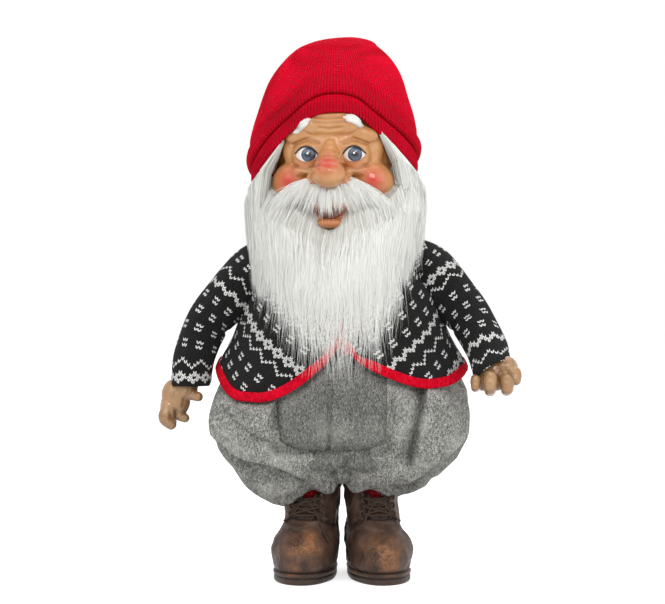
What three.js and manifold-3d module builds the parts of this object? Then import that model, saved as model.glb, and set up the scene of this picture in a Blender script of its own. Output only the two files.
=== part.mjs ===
// Standing holiday doll: an old bearded gnome in a knitted cap, a cardigan, felt breeches and cast boots.
// Millimetres, +Z up. The doll faces -Y, its own left side is +X, and the soles stand on Z = 0.
import * as THREE from "three";
import { mergeVertices } from "three/addons/utils/BufferGeometryUtils.js";
import Module from "manifold-3d";

const wasm = await Module();
wasm.setup();

// Fits
const clearance = 0.3; // between two pieces that touch
const runningGap = 0.6; // between a turning piece and its seat
const throughCut = 20; // how far a cutting shape runs past the face it opens

// Boots and legs
const soleThickness = 9;
const soleLip = 1.1; // how far the sole stands out round the upper
const soleEdge = 1.2; // rounding at the sole's two edges
const archHeight = 2.5; // hollow between heel and ball of the foot
const archLength = 12;
const bootHeight = 76;
const toeReach = 67; // from the leg's axis forward to the toe
const heelReach = 29;
const toeHalfWidth = 27;
const heelTaper = 0.17; // how much narrower the foot is at the heel
const shaftHalfWidth = 22.5;
const shaftHalfDepth = 26;
const toeOut = THREE.MathUtils.degToRad(9);
const legSpacing = 49;
const footbed = 4; // thickness of the boot under the leg post
const sockRadius = 15.7;
const sockRise = 19; // sock above the boot's top
const sockDepth = 36; // sock inside the boot
const postRadius = 8;
const postInsert = 10; // post inside the hip block
const hipBlockSize = new THREE.Vector3(84, 34, 18);
const hipBlockRise = 66; // underside of the block above the boots

// Breeches
const felt = 2.5;
const legDroop = 16; // how far the puffed leg hangs down past the boot's top
const hemRise = 6.5; // inside floor of the leg above the boot's top
const elasticWidth = 2.5;
const elasticHeight = 2.4;
const crotchRise = 22;
const hipRise = 60; // level of the widest girth above the boots
const waistRise = 139;
const hipHalfWidth = 109;
const hipHalfDepth = 72;
const waistTuck = 29; // how far the waist draws in from the hips at each side
const waistHalfDepth = 60;
const bellyHalfWidth = 46; // front and seat panel between the two legs
const bellyRise = 35; // lower edge of that panel above the boots
const bellyRound = 30; // height of its rounded corners

// Cardigan and body
const knit = 2.2;
const cardiganEase = 3.5; // how far the cardigan stands off the breeches
const neckHeight = 73; // from the waist to the collar
const collarRadius = 29;
const trimWidth = 8;
const trimProud = 0.9;
const rightFlapDrop = 67; // lowest point of each front corner below the waist
const leftFlapDrop = 56;
const frontNotchDrop = 23;
const sideHemDrop = 38;
const backHemDrop = 46;

// Arms and hands
const shoulderRadius = 24;
const shoulderSeat = 6; // the shoulder's centre inside the waist's outline
const shoulderDrop = 36; // shoulder centre below the collar
const upperArmLength = 63;
const forearmLength = 48;
const elbowRadius = 17.6;
const cuffRadius = 17.4;
const wristInsert = 13; // wrist plug inside the cuff
const plugEdge = 1; // chamfer at the plug's lower end
const wireRadius = 1.6;
const palmLength = 22;
const wristBend = 0.4; // how far the hand leans towards its back, for each millimetre from the wrist
const palmHalfWidth = 16;
const palmHalfDepth = 10;
const fingerRadius = 5;
const fingerLength = 21;
const thumbLength = 17;

// Head
const headShift = -3; // the head sits a little to the doll's right
const headYaw = THREE.MathUtils.degToRad(-4);
const neckRadius = 20;
const neckInsert = 22; // neck plug inside the body
const headHalfWidth = 54;
const headHalfDepth = 56;
const headHeight = 124; // from the collar to the crown
const headWall = 3;
const noseRadius = 11.5;
const cheekRadius = 17;
const neckTieWidth = 3.2;
const neckTieHeight = 3;

// Hair, beard and moustache
const hairThickness = 11;
const hairDrop = 119; // hair ends this far below the crown
const beardLength = 122; // from the collar down to the tip
const beardHalfWidth = 52; // in front of the chest
const beardSideWidth = 74; // beside the jaw
const beardDepth = 14;
const beardGap = 5; // room for the beard to sweep over the cardigan when the head turns
const beardLap = 5; // how far its inner edge runs in over the cheeks
const chestHollow = 9; // how far the chest lies inside the shoulders' centres
const moustacheHalfWidth = 40;
const moustacheRadius = 9.5;
const moustacheDroop = 16; // fall of its two ends
const moustacheLift = 5; // rise of its middle under the nose
const moustacheSweep = 22; // how far its ends run back along the cheeks

// Cap
const capWall = 4;
const capHeight = 38.5; // above the crown of the head
const capHalfWidth = 71;
const capHalfDepth = 69;
const capLean = 11; // how far the top leans to the doll's left
const capBackShift = 7; // the cap sits towards the back of the head
const cuffBand = 15;
const capFrontRise = 26; // cap's edge below the head's crown, at the forehead
const capSideDrop = 81; // at the temples
const capBackDrop = 112; // at the nape

// Levels and places worked out from the sizes above
const soleTop = soleThickness + clearance;
const postFoot = soleTop + footbed + clearance;
const legX = legSpacing / 2;
const hipBlockZ = bootHeight + hipBlockRise;
const waistZ = bootHeight + waistRise;
const waistHalfWidth = hipHalfWidth - waistTuck;
const shoulderSpread = waistHalfWidth - shoulderSeat;
const collarZ = waistZ + neckHeight;
const shoulderZ = collarZ - shoulderDrop;
const crownZ = collarZ + headHeight - clearance;
const pocketRadius = sockRadius + clearance;
const sockTop = bootHeight + sockRise;

// Working shapes

// A closed mesh as a solid that can be joined and cut.
function toSolid(geometry) {
  const bare = geometry.clone();
  bare.deleteAttribute("normal");
  bare.deleteAttribute("uv");
  const merged = mergeVertices(bare, 1e-4);
  return new wasm.Manifold(
    new wasm.Mesh({
      numProp: 3,
      vertProperties: new Float32Array(merged.attributes.position.array),
      triVerts: new Uint32Array(merged.index.array),
    }),
  );
}

function toGeometry(solid) {
  const mesh = solid.getMesh();
  const geometry = new THREE.BufferGeometry();
  geometry.setAttribute("position", new THREE.BufferAttribute(mesh.vertProperties, 3));
  geometry.setIndex(new THREE.BufferAttribute(mesh.triVerts, 1));
  geometry.computeVertexNormals();
  return geometry;
}

// A skin over a stack of rings. Each ring has a centre, and a side and a front vector that reach its outline.
function skinOver(rings, sides) {
  const geometry = new THREE.CylinderGeometry(1, 1, 1, sides, rings.length - 1);
  const position = geometry.attributes.position;
  const point = new THREE.Vector3();
  for (let i = 0; i < position.count; i += 1) {
    const ring = rings[Math.round((position.getY(i) + 0.5) * (rings.length - 1))];
    point
      .copy(ring.centre)
      .addScaledVector(ring.side, position.getX(i))
      .addScaledVector(ring.front, position.getZ(i));
    position.setXYZ(i, point.x, point.y, point.z);
  }
  return geometry;
}

function loft(rings, sides) {
  return toSolid(skinOver(rings, sides));
}

// A level ring: half width, reach forward (-Y) and reach back (+Y) from the point x, y.
function level(z, halfWidth, forward, back = forward, x = 0, y = 0) {
  return {
    centre: new THREE.Vector3(x, y + (back - forward) / 2, z),
    side: new THREE.Vector3(halfWidth, 0, 0),
    front: new THREE.Vector3(0, -(forward + back) / 2, 0),
  };
}

// The same rings with every outline moved out by an amount, or in where it is negative.
function grown(rings, amount) {
  return rings.map((ring) => ({
    centre: ring.centre.clone(),
    side: ring.side.clone().setLength(ring.side.length() + amount),
    front: ring.front.clone().setLength(ring.front.length() + amount),
  }));
}

// The same rings with the first and the last one pushed on along the stack.
function lengthened(rings, before, after) {
  const copy = grown(rings, 0);
  const axis = (ring) => new THREE.Vector3().crossVectors(ring.front, ring.side).normalize();
  copy[0].centre.addScaledVector(axis(copy[0]), -before);
  copy.at(-1).centre.addScaledVector(axis(copy.at(-1)), after);
  return copy;
}

// The outline of a stack of level rings at one height.
function ringAt(rings, z) {
  const above = Math.max(rings.findIndex((ring) => ring.centre.z > z), 1);
  const [lower, upper] = [rings[above - 1], rings[above]];
  const share = (z - lower.centre.z) / (upper.centre.z - lower.centre.z);
  return {
    centre: lower.centre.clone().lerp(upper.centre, share),
    side: lower.side.clone().lerp(upper.side, share),
    front: lower.front.clone().lerp(upper.front, share),
  };
}

// A straight round bar between two levels.
function bar(radius, bottom, top, x, sides = 16) {
  return loft([level(bottom, radius, radius, radius, x), level(top, radius, radius, radius, x)], sides);
}

function box(size, x, y, z) {
  return toSolid(new THREE.BoxGeometry(size.x, size.y, size.z).translate(x, y, z));
}

function ball(radius, centre, scale = new THREE.Vector3(1, 1, 1), sides = 16) {
  const geometry = new THREE.SphereGeometry(radius, sides, Math.round(sides / 2));
  return toSolid(geometry.scale(scale.x, scale.y, scale.z).translate(centre.x, centre.y, centre.z));
}

// An outline in the plane of X and Z, as thick as the span of Y given.
function slab(outline, frontY, backY) {
  const geometry = new THREE.ExtrudeGeometry(new THREE.Shape(outline), {
    depth: backY - frontY,
    bevelEnabled: false,
  });
  return toSolid(geometry.rotateX(Math.PI / 2).translate(0, backY, 0));
}

// An outline in the plane of Y and Z, as thick as the span of X given.
function sideSlab(outline, leftX, rightX) {
  const turn = new THREE.Matrix4().makeBasis(
    new THREE.Vector3(0, 1, 0),
    new THREE.Vector3(0, 0, 1),
    new THREE.Vector3(1, 0, 0),
  );
  const geometry = new THREE.ExtrudeGeometry(new THREE.Shape(outline), {
    depth: rightX - leftX,
    bevelEnabled: false,
  });
  return toSolid(geometry.applyMatrix4(turn).translate(leftX, 0, 0));
}

// A tube along points, with its ends closed.
function tube(points, radius, steps, sides = 6) {
  const section = new THREE.Shape().absarc(0, 0, radius, 0, 2 * Math.PI);
  return toSolid(
    new THREE.ExtrudeGeometry(section, {
      extrudePath: new THREE.CatmullRomCurve3(points),
      steps,
      curveSegments: sides / 2,
      bevelEnabled: false,
    }),
  );
}

function join(...solids) {
  return solids.reduce((whole, solid) => whole.add(solid));
}

function cut(solid, ...tools) {
  return tools.reduce((rest, tool) => rest.subtract(tool), solid);
}

function blendOf(from, to, share) {
  return from + (to - from) * share;
}

// Finishes
function finish(color, roughness) {
  return new THREE.MeshStandardMaterial({ color, roughness, metalness: 0 });
}

const bootBrown = finish(0x4f382c, 0.55);
const soleBrown = finish(0x3d2a22, 0.6);
const sockRed = finish(0xa3141c, 0.9);
const woodTan = finish(0xb58e5e, 0.7);
const feltGrey = finish(0x7b7b78, 0.95);
const fillWhite = finish(0xe6e3dc, 0.95);
const elasticBlack = finish(0x202020, 0.8);
const knitBlack = finish(0x1d1c1c, 0.9);
const trimRed = finish(0xd10a24, 0.9);
const wireGrey = finish(0x8d9094, 0.4);
const vinylSkin = finish(0xd9a878, 0.35);
const furWhite = finish(0xeeeeea, 0.9);
const capRed = finish(0xd20f2a, 0.9);

const doll = new THREE.Group();

function place(name, solid, material, parent = doll) {
  const mesh = new THREE.Mesh(toGeometry(solid), material);
  mesh.name = name;
  parent.add(mesh);
  return mesh;
}

// The doll's two sides: the sign of X, the angles of the upper arm and forearm out from straight down and
// forward, and the hand's turn about the forearm.
const sides = [
  { name: "left", sign: 1, upperLift: 41, upperReach: 21, foreLift: 15, foreReach: 46, handTurn: 165 },
  { name: "right", sign: -1, upperLift: 44.5, upperReach: 5, foreLift: 10, foreReach: 9, handTurn: -60 },
];

// Boots: the toe's share of each size falls away from the sole to the shaft.
const bootShape = [
  [0, 0.97],
  [0.1, 1],
  [0.27, 0.95],
  [0.38, 0.8],
  [0.48, 0.5],
  [0.58, 0.2],
  [0.72, 0.03],
  [1, 0],
];
const bootSides = 20;

function bootRings() {
  return bootShape.map(([rise, toe]) =>
    level(
      blendOf(soleTop, bootHeight, rise),
      blendOf(shaftHalfWidth, toeHalfWidth, toe),
      blendOf(shaftHalfDepth, toeReach, toe),
      blendOf(shaftHalfDepth, heelReach, toe),
    ),
  );
}

// A foot's skin drawn in from the ball of the foot to the heel.
function footSkin(rings, sides) {
  const geometry = skinOver(rings, sides);
  const position = geometry.attributes.position;
  const ballOfFoot = -0.45 * toeReach;
  for (let i = 0; i < position.count; i += 1) {
    const towardsHeel = (position.getY(i) - ballOfFoot) / (heelReach - ballOfFoot);
    const narrowing = heelTaper * THREE.MathUtils.clamp(1.5 * towardsHeel, 0, 1);
    const low = 1 - THREE.MathUtils.smoothstep(position.getZ(i), soleTop, bootHeight);
    position.setX(i, position.getX(i) * (1 - narrowing * low));
  }
  return geometry;
}

function bootUpper() {
  const pocket = bar(pocketRadius, soleTop + footbed, bootHeight + throughCut, 0);
  return cut(toSolid(footSkin(bootRings(), bootSides)), pocket);
}

function bootSole() {
  const outline = [toeHalfWidth, toeReach, heelReach].map((size) => size + soleLip);
  const inner = outline.map((size) => size - soleEdge);
  const plate = footSkin(
    [
      level(0, ...inner),
      level(soleEdge, ...outline),
      level(soleThickness - soleEdge, ...outline),
      level(soleThickness, ...inner),
    ],
    bootSides + 4,
  );
  const archSize = new THREE.Vector3(4 * toeHalfWidth, archLength, 2 * archHeight);
  return cut(toSolid(plate), box(archSize, 0, 0, 0));
}

function addBoot({ name, sign }) {
  const foot = new THREE.Group();
  foot.position.x = sign * legX;
  foot.rotation.z = sign * toeOut;
  doll.add(foot);
  place(`${name}_boot`, bootUpper(), bootBrown, foot);
  place(`${name}_boot_sole`, bootSole(), soleBrown, foot);
}

// Legs: a post from the footbed to the hip block, and a sock round it in the boot's mouth.
function addLeg({ name, sign }) {
  const x = sign * legX;
  const postTop = hipBlockZ + postInsert - clearance;
  place(`${name}_leg_post`, bar(postRadius, postFoot, postTop, x, 12), woodTan);
  const sock = bar(sockRadius, bootHeight - sockDepth, sockTop, x);
  const bore = bar(postRadius + clearance, 0, waistZ, x, 12);
  place(`${name}_sock`, cut(sock, bore), sockRed);
}

function hipBlock(margin) {
  const size = hipBlockSize.clone().addScalar(2 * margin);
  return box(size, 0, 0, hipBlockZ + hipBlockSize.z / 2);
}

function addHipBlock() {
  const bores = sides.map(({ sign }) =>
    bar(postRadius + clearance, hipBlockZ - throughCut, hipBlockZ + postInsert, sign * legX, 12),
  );
  place("hip_block", cut(hipBlock(0), ...bores), woodTan);
}

// Breeches: a hip bag and two puffed legs, stitched from four felt panels.
const breechesSides = 18;

function hipRings() {
  const rows = [
    [crotchRise, 0.57, 0.7],
    [blendOf(crotchRise, hipRise, 0.21), 0.74, 0.87],
    [blendOf(crotchRise, hipRise, 0.57), 0.92, 0.96],
    [hipRise, 1, 1],
    [blendOf(hipRise, waistRise, 0.23), 0.985, 0.985],
  ];
  const rings = rows.map(([rise, wide, deep]) =>
    level(bootHeight + rise, wide * hipHalfWidth, deep * hipHalfDepth),
  );
  for (const share of [0.5, 1]) {
    const ease = 0.9 * share + 0.1;
    rings.push(
      level(
        blendOf(bootHeight + hipRise, waistZ, share),
        blendOf(hipHalfWidth, waistHalfWidth, ease * share ** 0.4),
        blendOf(hipHalfDepth, waistHalfDepth, ease * share ** 0.4),
      ),
    );
  }
  return rings;
}

// Rows of a puffed leg: level above the hem's droop as a share of the hip's rise, reach to the side,
// reach to the middle, and depth.
const legShape = [
  [0, 0.46, 0.2, 0.25],
  [0.06, 0.56, 0.09, 0.42],
  [0.16, 0.67, 0.02, 0.54],
  [0.3, 0.78, 0, 0.65],
  [0.5, 0.9, -0.01, 0.78],
  [0.74, 0.99, -0.02, 0.9],
  [0.98, 1, -0.02, 0.88],
  [1.1, 0.95, -0.02, 0.76],
];

function legRings(sign) {
  return legShape.map(([rise, out, inner, deep]) => {
    const z = bootHeight - legDroop + rise * (hipRise + legDroop);
    const middle = ((out + inner) / 2) * hipHalfWidth;
    const half = ((out - inner) / 2) * hipHalfWidth;
    return level(z, half, deep * hipHalfDepth, deep * hipHalfDepth, sign * middle);
  });
}

function breechesSkin() {
  const legs = sides.map(({ sign }) => loft(legRings(sign), breechesSides));
  return join(loft(hipRings(), breechesSides), ...legs);
}

// The room inside the felt, less a margin for what fills it. It is open at the waist.
function breechesRoom(margin, overTop) {
  const floor = bootHeight + hemRise + margin;
  const legs = sides.map(({ sign }) => {
    const skin = legRings(sign);
    const walls = skin.filter((ring) => ring.centre.z > floor + felt);
    const inside = grown([ringAt(skin, floor - felt), ...walls], -(felt + margin));
    inside[0].centre.z = floor;
    return loft(inside, breechesSides);
  });
  const hip = lengthened(grown(hipRings(), -(felt + margin)), -felt, overTop);
  return join(loft(hip, breechesSides), ...legs);
}

function bellySlab(margin, frontReach, backReach) {
  const half = bellyHalfWidth + margin;
  const low = bootHeight + bellyRise - margin;
  const high = waistZ + throughCut;
  const outline = [new THREE.Vector2(half, high), new THREE.Vector2(-half, high)];
  const steps = 8;
  for (let i = 0; i <= steps; i += 1) {
    const turn = Math.PI * (1 + i / steps);
    outline.push(new THREE.Vector2(half * Math.cos(turn), low + bellyRound * (1 + Math.sin(turn))));
  }
  return slab(outline, -frontReach, backReach);
}

// The room for the elastic in the hem, and with no margin the elastic's own outside.
function elasticRoom({ sign }, margin) {
  const bottom = bootHeight + (hemRise - elasticHeight) / 2;
  const outer = pocketRadius + elasticWidth + margin;
  return bar(outer, bottom - margin, bottom + elasticHeight + margin, sign * legX);
}

function addBreeches() {
  const skin = breechesSkin();
  const room = breechesRoom(0, throughCut);
  const shell = cut(skin, room);
  const reach = 2 * hipHalfWidth;
  place("breeches_front_panel", shell.intersect(bellySlab(0, reach, 0)), feltGrey);
  place("breeches_back_panel", shell.intersect(bellySlab(0, 0, reach)), feltGrey);
  for (const side of sides) {
    const { name, sign } = side;
    const x = sign * legX;
    const halfSpace = box(
      new THREE.Vector3(reach, reach, reach),
      sign * (reach / 2 + clearance / 2),
      0,
      bootHeight + hipRise,
    );
    const bootRoom = toSolid(
      footSkin(lengthened(grown(bootRings(), clearance), 0, clearance), bootSides)
        .rotateZ(sign * toeOut)
        .translate(x, 0, 0),
    );
    const legPanel = cut(
      shell.intersect(halfSpace),
      bellySlab(clearance, reach, reach),
      bootRoom,
      bar(pocketRadius, 0, sockTop + clearance, x),
      elasticRoom(side, clearance),
    );
    place(`${name}_breeches_leg`, legPanel, feltGrey);
    const sockRoom = bar(pocketRadius, 0, waistZ, x);
    place(`${name}_hem_elastic`, cut(elasticRoom(side, 0), sockRoom), elasticBlack);
  }
  const holes = sides.flatMap(({ sign }) => [
    bar(postRadius + clearance, 0, hipBlockZ, sign * legX, 12),
    bar(pocketRadius, 0, sockTop + clearance, sign * legX),
  ]);
  place("breeches_filling", cut(breechesRoom(clearance, 0), hipBlock(clearance), ...holes), fillWhite);
}

// Cardigan: it follows the breeches up to the waist and then the stuffed chest to the collar.
const cardiganSides = 18;

function cardiganRings() {
  const low = hipRings()
    .filter((ring) => ring.centre.z >= bootHeight + hipRise - clearance)
    .map((ring) => grown([ring], cardiganEase)[0]);
  const chest = [
    [0.26, 0.87],
    [0.5, 0.71],
    [0.74, 0.44],
    [0.92, 0.15],
    [1, 0],
  ];
  const waist = low.at(-1);
  for (const [rise, share] of chest) {
    low.push(
      level(
        blendOf(waistZ, collarZ, rise),
        blendOf(collarRadius, waist.side.length(), share),
        blendOf(collarRadius, waist.front.length(), share),
      ),
    );
  }
  return low;
}

function cardiganShell(proud) {
  const rings = cardiganRings();
  const inner = lengthened(grown(rings, -knit), throughCut, throughCut);
  return cut(loft(grown(rings, proud), cardiganSides), loft(inner, cardiganSides));
}

function shoulderCentre(sign) {
  return new THREE.Vector3(sign * shoulderSpread, 0, shoulderZ);
}

// Room for each sleeve where it lies against the body.
function armholes() {
  return sides.map((side) => {
    const arm = armOf(side);
    const socket = ball(shoulderRadius + 2 * runningGap, arm.shoulder, undefined, 16);
    const groove = [0, 0.25, 0.5].map((share) =>
      ringAcross(
        arm.curve.getPointAt(share),
        arm.curve.getTangentAt(share),
        sleeveRadius(share) + 2 * runningGap,
      ),
    );
    return join(socket, loft(groove, armSides));
  });
}

// The hem seen from the front: two rounded corners that meet in a notch, moved up by an inset along its normal.
function hemLine(points, inset) {
  const line = new THREE.SplineCurve(points).getSpacedPoints(22);
  return line.map((point, i) => {
    const before = line[Math.max(i - 1, 0)];
    const after = line[Math.min(i + 1, line.length - 1)];
    const along = after.clone().sub(before).normalize();
    return new THREE.Vector2(point.x - along.y * inset, point.y + along.x * inset);
  });
}

function frontHem(inset) {
  const side = waistZ - sideHemDrop;
  const notch = waistZ - frontNotchDrop;
  const right = waistZ - rightFlapDrop;
  const left = waistZ - leftFlapDrop;
  const wide = hipHalfWidth + cardiganEase;
  const points = [
    [-1.1 * wide, side + trimWidth],
    [-0.95 * wide, side],
    [-0.87 * wide, blendOf(right, side, 0.42)],
    [-0.62 * wide, right],
    [-0.32 * wide, blendOf(right, notch, 0.27)],
    [-0.12 * wide, blendOf(right, notch, 0.7)],
    [headShift / 2, notch],
    [0.12 * wide, blendOf(left, notch, 0.62)],
    [0.36 * wide, blendOf(left, notch, 0.2)],
    [0.66 * wide, left],
    [0.87 * wide, blendOf(left, side, 0.42)],
    [0.95 * wide, side],
    [1.1 * wide, side + trimWidth],
  ];
  return hemLine(points.map(([x, z]) => new THREE.Vector2(x, z)), inset);
}

function backHem(inset) {
  const side = waistZ - sideHemDrop;
  const back = waistZ - backHemDrop;
  const wide = hipHalfWidth + cardiganEase;
  const points = [
    [-1.1 * wide, side + trimWidth],
    [-0.95 * wide, side],
    [-0.87 * wide, blendOf(back, side, 0.42)],
    [-0.5 * wide, back],
    [0, back],
    [0.5 * wide, back],
    [0.87 * wide, blendOf(back, side, 0.42)],
    [0.95 * wide, side],
    [1.1 * wide, side + trimWidth],
  ];
  return hemLine(points.map(([x, z]) => new THREE.Vector2(x, z)), inset);
}

// Everything below the hem, front and back.
function belowHem(inset) {
  const reach = hipHalfDepth + throughCut;
  const under = (line) => [
    ...line,
    new THREE.Vector2(line.at(-1).x, bootHeight),
    new THREE.Vector2(line[0].x, bootHeight),
  ];
  return join(slab(under(frontHem(inset)), -reach, 0), slab(under(backHem(inset)), -clearance, reach));
}

function addCardigan() {
  const knitEdge = belowHem(trimWidth);
  place("cardigan_body", cut(cardiganShell(0), knitEdge, ...armholes()), knitBlack);
  const band = cut(belowHem(trimWidth - clearance), belowHem(0));
  place("cardigan_trim", cardiganShell(trimProud).intersect(band), trimRed);
}

// The stuffed chest, with a round pocket for the neck and a bore for the wire from shoulder to shoulder.
function addChest() {
  const rings = grown(cardiganRings(), -(knit + clearance)).filter((ring) => ring.centre.z > waistZ - clearance);
  rings[0].centre.z = waistZ + clearance;
  const top = collarZ - neckTieHeight - clearance;
  rings.at(-1).centre.z = collarZ;
  const lid = box(new THREE.Vector3(1, 1, 1).multiplyScalar(4 * collarRadius), 0, 0, top + 2 * collarRadius);
  const pocket = bar(neckRadius + runningGap, collarZ - neckInsert, collarZ + throughCut, headShift, 20);
  const yokeReach = shoulderSpread - shoulderRadius - runningGap;
  const yoke = (radius, reach) =>
    tube([new THREE.Vector3(-reach, 0, shoulderZ), new THREE.Vector3(reach, 0, shoulderZ)], radius, 1);
  const bore = yoke(wireRadius + clearance, shoulderSpread);
  place("chest_filling", cut(loft(rings, cardiganSides), lid, pocket, bore, ...armholes()), fillWhite);
  place("shoulder_wire", yoke(wireRadius, yokeReach), wireGrey);
  const tie = bar(neckRadius + runningGap + neckTieWidth, top + clearance, collarZ - clearance, headShift, 20);
  place("neck_tie", cut(tie, pocket), woodTan);
}

// Arms: a ball at the shoulder, a sleeve along the bent arm, its filling and wire, and a cast hand.
const armSides = 12;

function direction(sign, lift, reach) {
  const out = THREE.MathUtils.degToRad(lift);
  const forward = THREE.MathUtils.degToRad(reach);
  return new THREE.Vector3(
    sign * Math.sin(out) * Math.cos(forward),
    -Math.sin(forward),
    -Math.cos(out) * Math.cos(forward),
  );
}

function armOf({ sign, upperLift, upperReach, foreLift, foreReach }) {
  const shoulder = shoulderCentre(sign);
  const upper = direction(sign, upperLift, upperReach);
  const fore = direction(sign, foreLift, foreReach);
  const elbow = shoulder.clone().addScaledVector(upper, upperArmLength);
  const wrist = elbow.clone().addScaledVector(fore, forearmLength);
  const bend = 0.32; // share of each length that the elbow's curve takes
  const curve = new THREE.CatmullRomCurve3([
    shoulder,
    shoulder.clone().addScaledVector(upper, (1 - bend) * upperArmLength),
    elbow.clone().lerp(shoulder.clone().lerp(wrist, 0.55), 0.12),
    elbow.clone().addScaledVector(fore, bend * forearmLength),
    wrist,
  ]);
  return { shoulder, wrist, upper, fore, curve };
}

function ringAcross(centre, along, radius) {
  const side = new THREE.Vector3(0, -1, 0).cross(along).normalize().negate();
  const front = new THREE.Vector3().crossVectors(side, along).normalize();
  return {
    centre: centre.clone(),
    side: side.multiplyScalar(radius),
    front: front.multiplyScalar(radius),
  };
}

// Sleeve radius along the arm, from the shoulder to the cuff.
const sleeveShape = [
  [0, 1],
  [0.14, 0.95],
  [0.3, 0.72],
  [0.45, 0.38],
  [0.58, 0.12],
  [0.68, 0],
];

function sleeveRadius(share) {
  const stop = sleeveShape.findIndex(([at]) => at >= share);
  if (stop === -1) {
    return blendOf(elbowRadius, cuffRadius, (share - 0.68) / 0.32);
  }
  if (stop === 0) {
    return shoulderRadius;
  }
  const [fromAt, fromShare] = sleeveShape[stop - 1];
  const [toAt, toShare] = sleeveShape[stop];
  const k = (share - fromAt) / (toAt - fromAt);
  return blendOf(elbowRadius, shoulderRadius, blendOf(fromShare, toShare, k));
}

// Rings of the arm from the back of the shoulder ball to the cuff.
function armRings(arm, inset) {
  const rings = [85, 60, 30].map((angle) => {
    const turn = THREE.MathUtils.degToRad(angle);
    const radius = shoulderRadius - inset;
    const centre = arm.shoulder.clone().addScaledVector(arm.upper, -radius * Math.sin(turn));
    return ringAcross(centre, arm.upper, radius * Math.cos(turn));
  });
  const steps = 8;
  for (let i = 0; i <= steps; i += 1) {
    const share = i / steps;
    const radius = sleeveRadius(share) - inset;
    rings.push(ringAcross(arm.curve.getPointAt(share), arm.curve.getTangentAt(share), radius));
  }
  return rings;
}

// A hand in its own frame, curled as if round a stick: the wrist plug runs up from the origin, the fingers hang
// down and curl towards +Y, and the right hand's thumb lies on its +X side.
function handSolid(sign) {
  const plugRadius = (cuffRadius - knit) * Math.cos(Math.PI / armSides) - clearance;
  const palmRing = (z, wide, back, front) =>
    level(z, wide * palmHalfWidth, back * palmHalfDepth, front * palmHalfDepth, 0, wristBend * z);
  const joint = (x, y, z) => new THREE.Vector3(x, y + wristBend * z, z);
  const palm = loft(
    [
      palmRing(-palmLength, 0.86, 0.8, 0.6),
      palmRing(-0.72 * palmLength, 1, 1.1, 0.8),
      palmRing(-0.3 * palmLength, 0.95, 1.15, 1.15),
      level(0, plugRadius - plugEdge, plugRadius - plugEdge),
      level(0.5 * plugEdge, plugRadius, plugRadius),
      level(wristInsert, plugRadius, plugRadius),
    ],
    armSides,
  );
  const fingers = [-1.5, -0.5, 0.5, 1.5].map((slot, i) => {
    const x = slot * 0.49 * palmHalfWidth;
    const reach = fingerLength * [0.86, 1, 1.02, 0.92][i];
    const root = -0.75 * palmLength;
    return tube(
      [
        joint(x, -0.2 * palmHalfDepth, root),
        joint(x * 1.06, -0.3 * palmHalfDepth, root - 0.42 * reach),
        joint(x * 1.08, 0.35 * reach, root - 0.72 * reach),
        joint(x, 0.75 * reach, root - 0.48 * reach),
      ],
      fingerRadius * [0.88, 1, 1, 0.95][i],
      4,
    );
  });
  const thumbX = 0.6 * palmHalfWidth;
  const thumb = tube(
    [
      joint(thumbX, 0, -0.15 * palmLength),
      joint(thumbX + 0.2 * thumbLength, 0.55 * thumbLength, -0.35 * palmLength),
      joint(thumbX + 0.1 * thumbLength, 1.05 * thumbLength, -0.55 * palmLength),
    ],
    fingerRadius * 1.05,
    3,
  );
  const hand = join(palm, ...fingers, thumb);
  return sign < 0 ? hand : hand.mirror([1, 0, 0]);
}

function addArm(side) {
  const { name, sign } = side;
  const arm = armOf(side);
  const length = arm.curve.getLength();
  const fillEnd = 1 - (wristInsert + clearance) / length;
  const wireEnd = 1 - (wristInsert + 2 * clearance) / length;
  const openCuff = lengthened(armRings(arm, knit), 0, throughCut);
  place(`${name}_sleeve`, cut(loft(armRings(arm, 0), armSides), loft(openCuff, armSides)), knitBlack);

  const wirePoints = (end) => {
    const steps = 8;
    return Array.from({ length: steps + 1 }, (_, i) => arm.curve.getPointAt((i / steps) * end));
  };
  const wireBore = tube([...wirePoints(fillEnd), arm.wrist], wireRadius + 2 * clearance, 10);
  const filling = loft(armRings(arm, knit + clearance), armSides);
  const plugRoom = [-(wristInsert + clearance), throughCut].map((at) =>
    ringAcross(arm.wrist.clone().addScaledVector(arm.fore, at), arm.fore, 2 * cuffRadius),
  );
  place(`${name}_arm_filling`, cut(filling, wireBore, loft(plugRoom, armSides)), fillWhite);
  place(`${name}_arm_wire`, tube(wirePoints(wireEnd), wireRadius, 10), wireGrey);

  const hand = new THREE.Group();
  hand.position.copy(arm.wrist);
  const wristRing = ringAcross(arm.wrist, arm.fore, 1);
  hand.setRotationFromMatrix(
    new THREE.Matrix4().makeBasis(
      wristRing.side.clone().negate(),
      wristRing.front.clone().negate(),
      arm.fore.clone().negate(),
    ),
  );
  hand.rotateZ(THREE.MathUtils.degToRad(side.handTurn));
  doll.add(hand);
  place(`${name}_hand`, handSolid(sign), vinylSkin, hand);
}

// Head: a hollow cast shell with a neck plug, nose and cheeks. It turns about the neck's axis.
const headGroup = new THREE.Group();
headGroup.position.x = headShift;
headGroup.rotation.z = headYaw;
doll.add(headGroup);
const headSides = 20;

// Rows: level as a share of the way from collar to crown, width and depth shares.
const headShape = [
  [0.05, 0.6, 0.62],
  [0.13, 0.85, 0.86],
  [0.25, 0.97, 0.97],
  [0.42, 1, 1],
  [0.6, 0.97, 0.98],
  [0.76, 0.86, 0.88],
  [0.89, 0.64, 0.67],
  [0.97, 0.34, 0.36],
  [1, 0.1, 0.1],
];

function headRings(grow) {
  return headShape.map(([rise, wide, deep]) =>
    level(
      blendOf(collarZ, crownZ, rise) + (rise === 1 ? grow : 0),
      wide * headHalfWidth + grow,
      deep * headHalfDepth + grow,
    ),
  );
}

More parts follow.
